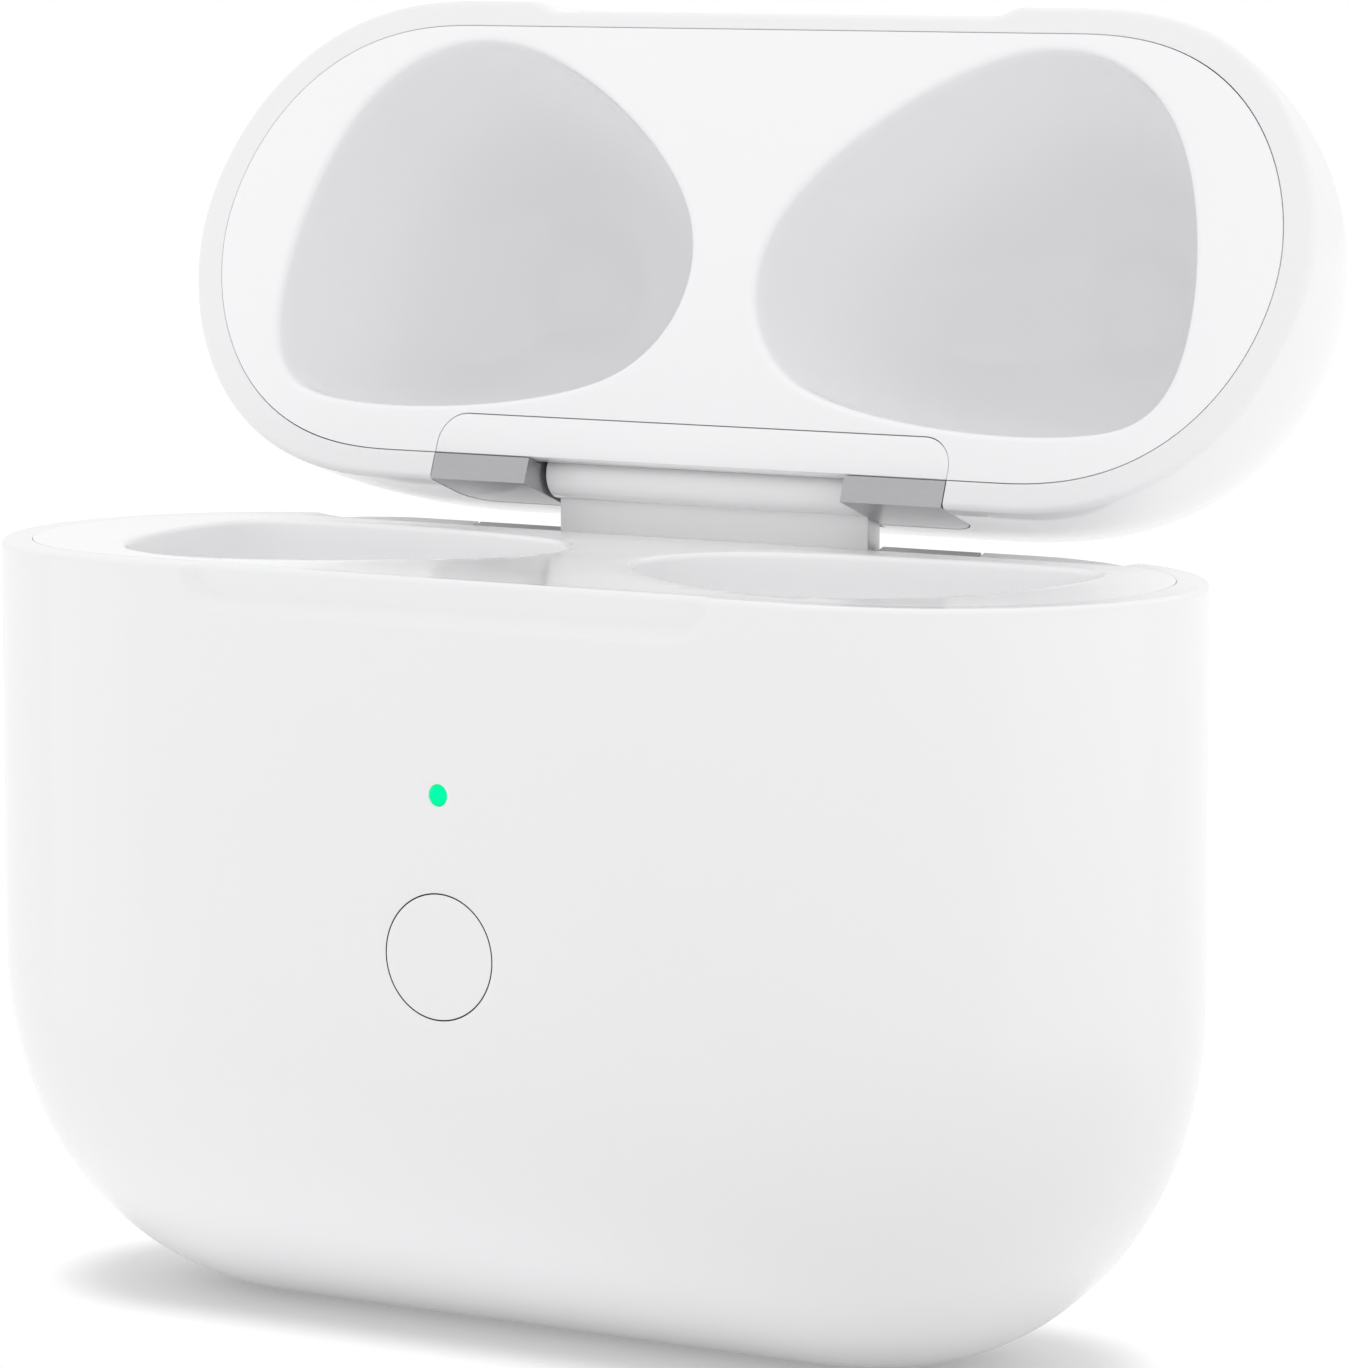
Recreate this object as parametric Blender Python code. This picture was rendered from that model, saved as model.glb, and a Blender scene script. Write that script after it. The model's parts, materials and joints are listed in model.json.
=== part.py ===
"""Charging case for a pair of wireless earbuds, lid open.

Axes: X across the case, Y from the front to the hinge at the back, Z up.
The origin lies on the surface the case stands on, under the middle of the open case's box.
Sizes are in millimetres in the constants below and become metres in the meshes.
Shapes are drawn with the lid shut and the body's mid-plane at y = 0; the lid's pieces
hang on an empty on the hinge axis, which is turned back by the opening angle.
"""
import math

import bmesh
import bpy
from mathutils import Vector

MM = 0.001

# ---- overall form -------------------------------------------------------
WIDTH = 54.4
DEPTH = 21.38
HEIGHT = 46.4          # with the lid shut
SPLIT_Z = 31.4         # plane where the lid parts from the body
BOTTOM_FLAT = 0.35     # how much the round underside is cut flat
CORNER_X, CORNER_Z, CORNER_N = 14.5, 15.5, 2.185     # lower corners
TOP_CORNER = 14.9                                    # upper corners
EDGE_D, EDGE_P, EDGE_Q = 12.45, 2.475, 1.892         # roll of the faces into the edge
WALL_X, WALL_Y, WALL_Z = 1.35, 1.16, 1.25            # shell walls
FIT = 0.04             # gap between bonded pieces
SEAM = 0.06            # gap between the shut lid and the body

# ---- hinge --------------------------------------------------------------
HINGE_Y, HINGE_Z = 9.55, SPLIT_Z + 2.32
OPEN_DEG = 110.3
PIN_R = 0.5
BARREL_R, BARREL_HALF = 1.08, 7.64
PLATE_HALF, PLATE_Y0, PLATE_Y1 = 7.56, 9.57, 10.55
BLOCK_IN, BLOCK_OUT, BLOCK_TOP = 7.74, 12.5, 3.5
SWEEP_R, SWEEP_HALF = 2.62, 20.5                     # room for the lid's rear rim

# ---- earbud wells -------------------------------------------------------
DISCS = ((19.2, 4.4, 2.75), (14.1, -1.9, 7.1), (6.85, 1.1, 5.3))   # x, y, radius
BLEND = 1.0            # sharpness of the blend between the discs, 1/mm
STEM_X, STEM_Y, STEM_R = 13.4, -1.0, 3.1
STEM_FLOOR = 6.3
WELL_WALL = 0.8
DECK = 1.2

# ---- front controls -----------------------------------------------------
BUTTON_Z, BUTTON_R, BUTTON_GAP = 16.45, 2.5, 0.07
LED_Z, LED_R = 22.9, 0.42
THUMB_HALF, THUMB_H, THUMB_DEEP = 12.4, 1.7, 0.40

# ---- charging port ------------------------------------------------------
PORT_W, PORT_T, PORT_WALL, PORT_TOP = 8.9, 3.2, 0.32, 6.0

# centre of the open case's box in Y, measured from the body's mid-plane
BOX_Y = 7.343

for o in list(bpy.data.objects):
    bpy.data.objects.remove(o, do_unlink=True)

PARTS = bpy.data.collections.new("earbuds_case")
CUTTERS = bpy.data.collections.new("cutters")
for c in (PARTS, CUTTERS):
    bpy.context.scene.collection.children.link(c)

root = bpy.data.objects.new("case_frame", None)
PARTS.objects.link(root)
root.location = (0, -BOX_Y * MM, 0)
lid_axis = bpy.data.objects.new("lid_hinge_axis", None)
PARTS.objects.link(lid_axis)
lid_axis.parent = root
lid_axis.location = (0, HINGE_Y * MM, HINGE_Z * MM)
lid_axis.rotation_euler = (-math.radians(OPEN_DEG), 0, 0)


# ---- materials ----------------------------------------------------------
def material(name, colour, rough, metal=0.0, emit=None):
    m = bpy.data.materials.new(name)
    m.use_nodes = True
    s = m.node_tree.nodes["Principled BSDF"]
    s.inputs["Base Color"].default_value = (*colour, 1)
    s.inputs["Roughness"].default_value = rough
    s.inputs["Metallic"].default_value = metal
    if emit:
        s.inputs["Emission Color"].default_value = (*emit, 1)
        s.inputs["Emission Strength"].default_value = 1.5
    return m


FINISH = {
    "white": ((0.90, 0.90, 0.91), 0.12, 0.0),
    "tray": ((0.88, 0.88, 0.89), 0.30, 0.0),
    "steel": ((0.45, 0.45, 0.47), 0.35, 1.0),
    "pin": ((0.60, 0.60, 0.62), 0.20, 1.0),
    "spring": ((0.50, 0.50, 0.52), 0.25, 1.0),
    "board": ((0.02, 0.16, 0.07), 0.45, 0.0),
    "chip": ((0.03, 0.03, 0.03), 0.40, 0.0),
    "cell": ((0.55, 0.56, 0.58), 0.40, 0.6),
    "copper": ((0.72, 0.38, 0.22), 0.30, 1.0),
    "ferrite": ((0.06, 0.06, 0.06), 0.70, 0.0),
    "magnet": ((0.62, 0.62, 0.64), 0.22, 1.0),
    "gold": ((0.85, 0.62, 0.25), 0.22, 1.0),
    "black": ((0.03, 0.03, 0.03), 0.50, 0.0),
    "light": ((0.0, 0.95, 0.60), 0.30, 0.0),
}


def finish(ob, kind):
    colour, rough, metal = FINISH[kind]
    ob.data.materials.clear()
    ob.data.materials.append(
        material(ob.name, colour, rough, metal, emit=colour if kind == "light" else None)
    )


# ---- placing ------------------------------------------------------------
def place(name, bm, on="base", origin=(0.0, 0.0, 0.0), cutter=False, smooth=None):
    """A mesh drawn in shut-lid millimetres becomes an object with its origin at the given point."""
    bmesh.ops.recalc_face_normals(bm, faces=bm.faces)
    if bm.calc_volume(signed=True) < 0:
        bmesh.ops.reverse_faces(bm, faces=bm.faces)
    for v in bm.verts:
        v.co = (v.co - Vector(origin)) * MM
    me = bpy.data.meshes.new(name)
    bm.to_mesh(me)
    bm.free()
    if smooth is not None:
        me.shade_smooth()
        me.set_sharp_from_angle(angle=math.radians(smooth))
    ob = bpy.data.objects.new(name, me)
    (CUTTERS if cutter else PARTS).objects.link(ob)
    if on == "lid":
        ob.parent = lid_axis
        ob.location = (
            origin[0] * MM,
            (origin[1] - HINGE_Y) * MM,
            (origin[2] - HINGE_Z) * MM,
        )
    else:
        ob.parent = root
        ob.location = Vector(origin) * MM
    if cutter:
        ob.hide_render = True
        ob.display_type = "WIRE"
    return ob


def boolean(ob, tool, how="DIFFERENCE"):
    m = ob.modifiers.new(how.lower() + "_" + tool.name, "BOOLEAN")
    m.operation = how
    m.solver = "EXACT"
    m.object = tool
    return ob


# ---- primitive shapes ---------------------------------------------------
def box(lo, hi):
    bm = bmesh.new()
    bmesh.ops.create_cube(bm, size=1.0)
    for v in bm.verts:
        v.co = Vector([lo[i] + (hi[i] - lo[i]) * (v.co[i] + 0.5) for i in range(3)])
    return bm


def rounded_box(lo, hi, r, segments=2):
    bm = box(lo, hi)
    bmesh.ops.bevel(
        bm, geom=bm.edges[:], offset=r, offset_type="OFFSET", segments=segments,
        profile=0.5, affect="EDGES", clamp_overlap=True,
    )
    return bm


def rod(axis, centre, r, a, b, segments=24, r2=None):
    """A cylinder along X, Y or Z from a to b; centre gives the other two coordinates in order."""
    bm = bmesh.new()
    bmesh.ops.create_cone(
        bm, cap_ends=True, cap_tris=False, segments=segments,
        radius1=r, radius2=r if r2 is None else r2, depth=1.0,
    )
    for v in bm.verts:
        x, y, z = v.co
        w = a + (b - a) * (z + 0.5)
        if axis == "X":
            v.co = Vector((w, centre[0] + x, centre[1] + y))
        elif axis == "Y":
            v.co = Vector((centre[0] + x, w, centre[1] + y))
        else:
            v.co = Vector((centre[0] + x, centre[1] + y, w))
    return bm


def extrude(points, lo, hi, axis):
    """A flat outline, pushed from lo to hi along an axis. The outline's pair is XZ for Y, YZ for X, XY for Z."""
    bm = bmesh.new()
    put = {
        "Y": lambda p, w: (p[0], w, p[1]),
        "X": lambda p, w: (w, p[0], p[1]),
        "Z": lambda p, w: (p[0], p[1], w),
    }[axis]
    face = bm.faces.new([bm.verts.new(put(p, lo)) for p in points])
    new = bmesh.ops.extrude_face_region(bm, geom=[face])["geom"]
    for v in new:
        if isinstance(v, bmesh.types.BMVert):
            v.co += Vector(put((0, 0), hi - lo))
    return bm


def rounded_outline(corners, segments=5):
    """Corners as (x, y, radius), counter-clockwise; each corner becomes an arc."""
    out = []
    n = len(corners)
    for i, (x, y, r) in enumerate(corners):
        if r <= 0:
            out.append((x, y))
            continue
        p = Vector((x, y))
        a = (Vector(corners[i - 1][:2]) - p).normalized()
        b = (Vector(corners[(i + 1) % n][:2]) - p).normalized()
        half = a.angle(b) / 2
        centre = p + (a + b).normalized() * (r / math.sin(half))
        s = p + a * (r / math.tan(half)) - centre
        e = p + b * (r / math.tan(half)) - centre
        turn = s.angle(e)
        for k in range(segments + 1):
            w = k / segments
            v = (s * math.sin((1 - w) * turn) + e * math.sin(w * turn)) / math.sin(turn)
            out.append(tuple(centre + v))
    return out


def slot(w, t, segments=6):
    """Outline of an oval slot w wide and t high, centred on the origin."""
    r, out = t / 2, []
    for side in (1, -1):
        for k in range(segments + 1):
            a = -math.pi / 2 + math.pi * k / segments
            out.append((side * (w / 2 - r + r * math.cos(a)), side * r * math.sin(a)))
    return out


def power(value, exponent):
    return math.copysign(abs(value) ** exponent, value)


def pebble(ix=0.0, iy=0.0, iz=0.0, corner=11, roll=8):
    """The whole shut case as one closed form, its surface moved in by ix, iy and iz.

    Round the outline: two lower superellipse corners, two straight sides, two upper
    round corners. From the rim inward the half thickness follows a superellipse and
    then stays flat.
    """
    a = WIDTH / 2 - ix
    low = -BOTTOM_FLAT + iz * 1.0
    top = HEIGHT - iz
    rx, rz, rt = CORNER_X - ix, CORNER_Z - iz, TOP_CORNER - (ix + iz) / 2
    edge = EDGE_D - (ix + iz) / 2
    half = DEPTH / 2 - iy
    around = []
    e = 2 / CORNER_N
    for k in range(corner + 1):          # lower right, from the side down to the base
        s = math.pi / 2 * k / corner
        u, v = power(math.cos(s), e), power(math.sin(s), e)
        n = Vector((u ** (CORNER_N - 1) / rx, -(v ** (CORNER_N - 1)) / rz)).normalized()
        around.append((a - rx + rx * u, low + rz - rz * v, n.x, n.y))
    around += [(-x, z, -nx, nz) for x, z, nx, nz in reversed(around)]
    upper = []
    for k in range(corner + 1):          # upper left, from the side up to the top
        s = math.pi / 2 * k / corner
        upper.append((-(a - rt + rt * math.cos(s)), top - rt + rt * math.sin(s), -math.cos(s), math.sin(s)))
    around += upper
    around += [(-x, z, -nx, nz) for x, z, nx, nz in reversed(upper)]
    count = len(around)
    bm = bmesh.new()
    bmesh.ops.create_uvsphere(bm, u_segments=count, v_segments=2 * (roll + 1), radius=1.0)
    for v in bm.verts:
        lat = math.asin(max(-1.0, min(1.0, v.co.z)))
        ring = round(abs(lat) / (math.pi / 2) * (roll + 1))
        sign = -1.0 if v.co.z < 0 else 1.0
        if ring == roll + 1:
            v.co = Vector((0.0, sign * half, (SPLIT_Z - 5) * 0.85))
            continue
        i = round(math.atan2(v.co.y, v.co.x) / (2 * math.pi) * count) % count
        x, z, nx, nz = around[i]
        psi = math.pi / 2 * ring / roll
        d = edge * (1 - power(math.cos(psi), 2 / EDGE_P)) if ring < roll else edge
        y = half * power(math.sin(psi), 2 / EDGE_Q) if ring else 0.0
        v.co = Vector((x - nx * d, sign * y if ring else 0.0, z - nz * d))
    return bm


# ---- earbud pocket outline ----------------------------------------------
def pocket(phi, grow):
    """Point of the pocket's outline whose outward normal is at angle phi: a smooth hull of three discs."""
    c, s = math.cos(phi), math.sin(phi)
    g = [x * c + y * s + r + grow for x, y, r in DISCS]
    t = [-x * s + y * c for x, y, r in DISCS]
    m = max(g)
    w = [math.exp(BLEND * (v - m)) for v in g]
    total = sum(w)
    h = m + math.log(total) / BLEND
    dh = sum(a * b for a, b in zip(w, t)) / total
    return h * c - dh * s, h * s + dh * c


def pocket_loft(levels, grow, stem_r, side, points=28, middle=(STEM_X, STEM_Y)):
    """Closed loft of pocket outlines. A level is (z, scale about the middle, share of the round stem, extra width)."""
    bm = bmesh.new()
    rings = []
    mx, my = middle
    for z, k, share, extra in levels:
        ring = []
        for i in range(points):
            phi = 2 * math.pi * i / points
            px, py = pocket(phi, grow)
            x = mx + (px - mx) * k + extra * math.cos(phi)
            y = my + (py - my) * k + extra * math.sin(phi)
            cx = mx + (stem_r + extra) * math.cos(phi)
            cy = my + (stem_r + extra) * math.sin(phi)
            ring.append(bm.verts.new((side * (x + (cx - x) * share), y + (cy - y) * share, z)))
        rings.append(ring)
    for a, b in zip(rings, rings[1:]):
        for i in range(points):
            j = (i + 1) % points
            bm.faces.new((a[i], a[j], b[j], b[i]))
    bm.faces.new(rings[0])
    bm.faces.new(list(reversed(rings[-1])))
    return bm


FAR = 60.0

# =========================================================================
# Body
# =========================================================================
shell = place("lower_shell", pebble(), smooth=30)
boolean(shell, place("cut_body_height", box((-FAR, -FAR, 0), (FAR, FAR, SPLIT_Z)), cutter=True), "INTERSECT")
boolean(shell, place("cut_body_inside", pebble(WALL_X, WALL_Y, WALL_Z, corner=9, roll=6), cutter=True))
boolean(shell, place("cut_port_slot", extrude(slot(PORT_W + 0.3, PORT_T + 0.3), -3, 3, "Z"), cutter=True))
boolean(shell, place("cut_button_hole", rod("Y", (0, BUTTON_Z), BUTTON_R + BUTTON_GAP, -13, -8.5, 40), cutter=True))
boolean(shell, place("cut_light_hole", rod("Y", (0, LED_Z), LED_R + 0.04, -13, -8.5, 16), cutter=True))
thumb = rounded_outline(
    [(-THUMB_HALF, SPLIT_Z + 3, 0), (-THUMB_HALF, SPLIT_Z - THUMB_H, 1.6),
     (THUMB_HALF, SPLIT_Z - THUMB_H, 1.6), (THUMB_HALF, SPLIT_Z + 3, 0)]
)
boolean(shell, place("cut_thumb_recess", extrude(thumb, -DEPTH / 2 - 2, -DEPTH / 2 + THUMB_DEEP, "Y"), cutter=True))
boolean(shell, place("cut_leaf_pocket", box((-BLOCK_OUT, 8.9, SPLIT_Z - 5.2), (BLOCK_OUT, 10.18, SPLIT_Z + 2)), cutter=True))
boolean(shell, place("cut_leaf_top", box((-BLOCK_OUT, 8.8, SPLIT_Z - 0.8), (BLOCK_OUT, 13, SPLIT_Z + 3)), cutter=True))
sweep = place("cut_lid_sweep", rod("X", (HINGE_Y, HINGE_Z), SWEEP_R, -SWEEP_HALF, SWEEP_HALF, 48), cutter=True)
boolean(shell, sweep)
finish(shell, "white")

# Deck and the two earbud wells, one moulding.
INNER = [(1.5, 1.0, 0, 0), (-1.5, 0.985, 0, 0), (-3.5, 0.94, 0, 0), (-6.0, 0.84, 0, 0),
         (-8.4, 0.68, 0, 0), (-10.0, 0.52, 0.2, 0), (-11.2, 0.42, 0.65, 0), (-12.4, 0.4, 1.0, 0)]
tray = place("inner_tray", pebble(WALL_X + FIT, WALL_Y + FIT, WALL_Z + FIT, corner=9, roll=6), smooth=30)
boolean(tray, place("cut_deck_slab", box((-FAR, -FAR, SPLIT_Z - DECK), (FAR, FAR, SPLIT_Z)), cutter=True), "INTERSECT")
for side, word in ((-1, "left"), (1, "right")):
    outer = [(SPLIT_Z - 0.3, 1.0, 0, WELL_WALL)]
    for z, k, m, e in INNER[1:]:
        outer.append((SPLIT_Z + z - 1.0 * min(0.8, 1.6 * (1 - k)), k, m, WELL_WALL))
    outer.append((STEM_FLOOR - WELL_WALL, 0.4, 1.0, WELL_WALL))
    boolean(tray, place("add_well_" + word, pocket_loft(outer, -0.7, STEM_R, side), cutter=True), "UNION")
for side, word in ((-1, "left"), (1, "right")):
    inner = [(SPLIT_Z + z, k, m, e) for z, k, m, e in INNER] + [(STEM_FLOOR, 0.4, 1.0, 0)]
    boolean(tray, place("cut_well_" + word, pocket_loft(inner, -0.7, STEM_R, side), cutter=True))
boolean(tray, sweep)
finish(tray, "tray")

# Spring contacts in the floor of each stem pocket.
CONTACT_R, PLUNGER_R = 0.72, 0.42
for side, word in ((-1, "left"), (1, "right")):
    for dy, where in ((-1.25, "front"), (1.25, "rear")):
        x, y = side * STEM_X, STEM_Y + dy
        tag = word + "_" + where
        boolean(tray, place("cut_contact_" + tag, rod("Z", (x, y), CONTACT_R + 0.05, 4.5, 7.5, 14), cutter=True))
        barrel = place("contact_barrel_" + tag, rod("Z", (x, y), CONTACT_R, 3.9, 6.9, 14), smooth=40)
        boolean(barrel, place("cut_barrel_" + tag, rod("Z", (x, y), PLUNGER_R + 0.06, 4.3, 8.0, 14), cutter=True))
        finish(barrel, "gold")
        pin = place("contact_plunger_" + tag, rod("Z", (x, y), PLUNGER_R, 5.0, 7.7, 14), origin=(x, y, 5.0), smooth=40)
        finish(pin, "gold")

# Hinge: steel leaf let into the rear wall, white knuckle standing on it.
leaf_outline = [
    (-12.38, SPLIT_Z - 5.0), (12.38, SPLIT_Z - 5.0), (12.38, SPLIT_Z - 0.06), (7.66, SPLIT_Z - 0.06),
    (7.66, SPLIT_Z - 1.0), (-7.66, SPLIT_Z - 1.0), (-7.66, SPLIT_Z - 0.06), (-12.38, SPLIT_Z - 0.06),
]
leaf = place("hinge_leaf", extrude(leaf_outline, 9.62, 10.12, "Y"))
for side, word in ((-1, "left"), (1, "right")):
    x0, x1 = sorted((side * 7.66, side * 12.38))
    boolean(leaf, place("add_leaf_cap_" + word, box((x0, 9.8, SPLIT_Z - 0.74), (x1, 10.62, SPLIT_Z - 0.06)), cutter=True), "UNION")
boolean(leaf, sweep)
finish(leaf, "steel")

knuckle = place("hinge_knuckle", box((-PLATE_HALF, PLATE_Y0, SPLIT_Z - 0.74), (PLATE_HALF, PLATE_Y1, HINGE_Z)))
boolean(knuckle, place("add_barrel", rod("X", (HINGE_Y, HINGE_Z), BARREL_R, -BARREL_HALF, BARREL_HALF, 32), cutter=True), "UNION")
boolean(knuckle, place("cut_barrel_bore", rod("X", (HINGE_Y, HINGE_Z), PIN_R + 0.06, -9, 9, 24), cutter=True))
finish(knuckle, "white")

# Button: cap in the front wall, retaining flange behind it, nub over the switch.
button = place("pair_button", rod("Y", (0, BUTTON_Z), BUTTON_R, -DEPTH / 2, -9.3, 40), origin=(0, -DEPTH / 2, BUTTON_Z), smooth=40)
boolean(button, place("add_flange", rod("Y", (0, BUTTON_Z), BUTTON_R + 0.45, -9.45, -9.15, 40), cutter=True), "UNION")
boolean(button, place("add_nub", rod("Y", (0, BUTTON_Z), 0.8, -9.3, -8.95, 20), cutter=True), "UNION")
finish(button, "white")

switch = place("tact_switch", rounded_box((-1.6, -8.64, BUTTON_Z - 1.6), (1.6, -8.34, BUTTON_Z + 1.6), 0.08, 1))
finish(switch, "steel")

lens = place("led_lens", rod("Y", (0, LED_Z), LED_R, -DEPTH / 2, -9.2, 16), origin=(0, -DEPTH / 2, LED_Z), smooth=40)
finish(lens, "light")
led = place("led_emitter", box((-0.55, -9.1, LED_Z - 0.45), (0.55, -8.34, LED_Z + 0.45)))
finish(led, "light")

# Electronics.
board_outline = [(-8.0, 8.2), (8.0, 8.2), (8.0, 19.6), (3.2, 19.6), (3.2, 26.3), (-3.2, 26.3), (-3.2, 19.6), (-8.0, 19.6)]
finish(place("main_board", extrude(board_outline, -8.3, -7.6, "Y")), "board")
finish(place("board_shield", rounded_box((-7.6, -9.1, 9.0), (-3.4, -8.34, 18.6), 0.25)), "steel")
finish(place("charge_chip", box((3.6, -9.0, 10.0), (7.2, -8.34, 13.6))), "chip")
finish(place("hall_sensor", box((-0.7, -8.9, 24.9), (0.7, -8.34, 26.0))), "chip")
finish(place("battery_cell", rounded_box((-8.6, -7.2, 6.6), (8.6, 1.2, 20.0), 1.0)), "cell")
finish(place("battery_board", box((-6.5, 1.5, 8.0), (6.5, 2.2, 13.0))), "board")

port = place("charge_port_shell", extrude(slot(PORT_W, PORT_T), 0.35, PORT_TOP, "Z"))
boolean(port, place("cut_port_inside", extrude(slot(PORT_W - 2 * PORT_WALL, PORT_T - 2 * PORT_WALL), -1, PORT_TOP - 0.4, "Z"), cutter=True))
finish(port, "steel")
finish(place("charge_port_tongue", box((-3.35, -0.35, 1.1), (3.35, 0.35, PORT_TOP - 0.45))), "black")

COIL_Z = 17.5
coil = place("charging_coil", rod("Y", (0, COIL_Z), 9.0, 8.55, 8.95, 40), smooth=40)
boolean(coil, place("cut_coil", rod("Y", (0, COIL_Z), 5.0, 8, 10, 32), cutter=True))
finish(coil, "copper")
finish(place("coil_ferrite", rod("Y", (0, COIL_Z), 9.3, 8.1, 8.5, 40), smooth=40), "ferrite")

for side, word in ((-1, "left"), (1, "right")):
    def spread(x0, x1):
        return sorted((side * x0, side * x1))

    a, b = spread(2.6, 6.4)
    finish(place("base_magnet_" + word, rounded_box((a, -9.2, 27.3), (b, -7.3, 29.9), 0.15, 1)), "magnet")
    a, b = spread(12.0, 15.4)
    finish(place("bud_magnet_" + word, rounded_box((a, -7.7, 15.0), (b, -5.7, 18.2), 0.15, 1)), "magnet")

# Steel counterweights low in the front corners: they keep the case on its flat with the lid open.
for side, word in ((-1, "left"), (1, "right")):
    a, b = sorted((side * 9.8, side * 21.5))
    weight = place("counterweight_" + word, pebble(WALL_X + 0.35, WALL_Y + 0.35, WALL_Z + 0.35, corner=9, roll=6))
    boolean(weight, place("keep_weight_" + word, box((a, -9.6, 2.5), (b, -5.25, 14.6)), cutter=True), "INTERSECT")
    finish(weight, "steel")

# =========================================================================
# Lid
# =========================================================================
RIM = SPLIT_Z + SEAM
lid = place("lid_shell", pebble(), on="lid", smooth=30)
boolean(lid, place("cut_lid_height", box((-FAR, -FAR, RIM), (FAR, FAR, FAR)), on="lid", cutter=True), "INTERSECT")
boolean(lid, place("cut_lid_inside", pebble(WALL_X, WALL_Y, WALL_Z, corner=9, roll=6), on="lid", cutter=True))
notch = [(-12.2, SPLIT_Z - 1), (12.2, SPLIT_Z - 1), (10.5, SPLIT_Z + 0.62), (-10.5, SPLIT_Z + 0.62)]
boolean(lid, place("cut_lid_thumb", extrude(notch, -DEPTH / 2 - 2, -DEPTH / 2 + 0.45, "Y"), on="lid", cutter=True))
block_hole = rounded_outline(
    [(-BLOCK_OUT - 0.05, SPLIT_Z - 1, 0), (BLOCK_OUT + 0.05, SPLIT_Z - 1, 0),
     (BLOCK_OUT + 0.05, SPLIT_Z + BLOCK_TOP + 0.05, 1.35), (-BLOCK_OUT - 0.05, SPLIT_Z + BLOCK_TOP + 0.05, 1.35)]
)
boolean(lid, place("cut_block_hole", extrude(block_hole, 8.3, 13, "Y"), on="lid", cutter=True))
boolean(lid, place("cut_knuckle_recess", box((-BLOCK_IN - 0.02, 8.3, SPLIT_Z + 1), (BLOCK_IN + 0.02, 13, SPLIT_Z + 4.0)), on="lid", cutter=True))
finish(lid, "white")

# Liner: plate in the rim plane with two domed pockets over the earbuds.
DOME = [(-1.5, 1.0, 0, 0), (1.5, 0.985, 0, 0), (3.5, 0.945, 0, 0), (5.8, 0.86, 0, 0),
        (8.0, 0.71, 0, 0), (9.6, 0.53, 0, 0), (10.6, 0.33, 0, 0), (11.0, 0.12, 0, 0)]
LID_WALL = 0.6
LID_RIM_WALL = 0.44
liner = place("lid_liner", pebble(WALL_X + FIT, WALL_Y + FIT, WALL_Z + FIT, corner=9, roll=6), on="lid", smooth=30)
boolean(liner, place("cut_liner_slab", box((-FAR, -FAR, RIM), (FAR, FAR, RIM + 1.0)), on="lid", cutter=True), "INTERSECT")
for side, word in ((-1, "left"), (1, "right")):
    outer = [(RIM + 0.3, 1.0, 0, LID_RIM_WALL)]
    for z, k, m, e in DOME[1:]:
        outer.append((RIM + z + 1.0 * min(LID_WALL, 1.6 * (1 - k)), k, m, LID_RIM_WALL if z < 3 else LID_WALL))
    boolean(liner, place("add_dome_" + word, pocket_loft(outer, 0.0, STEM_R, side, middle=(13.4, -0.6)), on="lid", cutter=True), "UNION")
for side, word in ((-1, "left"), (1, "right")):
    inner = [(RIM + z, k, m, e) for z, k, m, e in DOME]
    boolean(liner, place("cut_dome_" + word, pocket_loft(inner, 0.0, STEM_R, side, middle=(13.4, -0.6)), on="lid", cutter=True))
cover_hole = rounded_outline(
    [(-12.54, 13, 0), (-12.54, 7.72, 1.35), (12.54, 7.72, 1.35), (12.54, 13, 0)]
)
boolean(liner, place("cut_cover_hole", extrude(cover_hole, RIM - 2, RIM + 1.06, "Z"), on="lid", cutter=True))
boolean(liner, place("cut_bracket_room", box((-12.7, 8.27, RIM + 0.9), (12.7, 13, RIM + 12)), on="lid", cutter=True))
finish(liner, "tray")

cover = place("hinge_cover", extrude(rounded_outline(
    [(-12.5, 9.49, 0), (-12.5, 7.76, 1.3), (12.5, 7.76, 1.3), (12.5, 9.49, 0)]), RIM, RIM + 0.8, "Z"), on="lid")
finish(cover, "white")

# Steel bracket: two blocks that show at the rear of the lid, joined by a hidden bar.
bracket = place("hinge_bracket", box((-11.1, 8.35, SPLIT_Z + 4.15), (11.1, 9.3, SPLIT_Z + 5.0)), on="lid")
for side, word in ((-1, "left"), (1, "right")):
    a, b = sorted((side * BLOCK_IN, side * 11.1))
    face = [(side * BLOCK_IN, RIM), (side * BLOCK_OUT, RIM),
            (side * BLOCK_OUT, SPLIT_Z + BLOCK_TOP - 1.3)]
    face += [(side * (BLOCK_OUT - 1.3 + 1.3 * math.cos(t)), SPLIT_Z + BLOCK_TOP - 1.3 + 1.3 * math.sin(t))
             for t in [math.pi / 2 * k / 5 for k in range(1, 6)]]
    face += [(side * BLOCK_IN, SPLIT_Z + BLOCK_TOP)]
    if side < 0:
        face.reverse()
    boolean(bracket, place("add_block_" + word, extrude(face, 9.55, DEPTH / 2 - 0.02, "Y"), on="lid", cutter=True), "UNION")
    boolean(bracket, place("add_cheek_" + word, box((a, 8.35, RIM + 0.9), (b, 9.7, SPLIT_Z + 3.3)), on="lid", cutter=True), "UNION")
    boolean(bracket, place("add_riser_" + word, box((a, 8.35, RIM + 2.0), (b, 9.3, SPLIT_Z + 4.6)), on="lid", cutter=True), "UNION")
boolean(bracket, place("cut_pin_bores", rod("X", (HINGE_Y, HINGE_Z), PIN_R + 0.03, -12.0, 12.0, 24), on="lid", cutter=True))
finish(bracket, "steel")

finish(place("hinge_pin", rod("X", (HINGE_Y, HINGE_Z), PIN_R, -11.9, 11.9, 24), on="lid", smooth=40), "pin")

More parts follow.
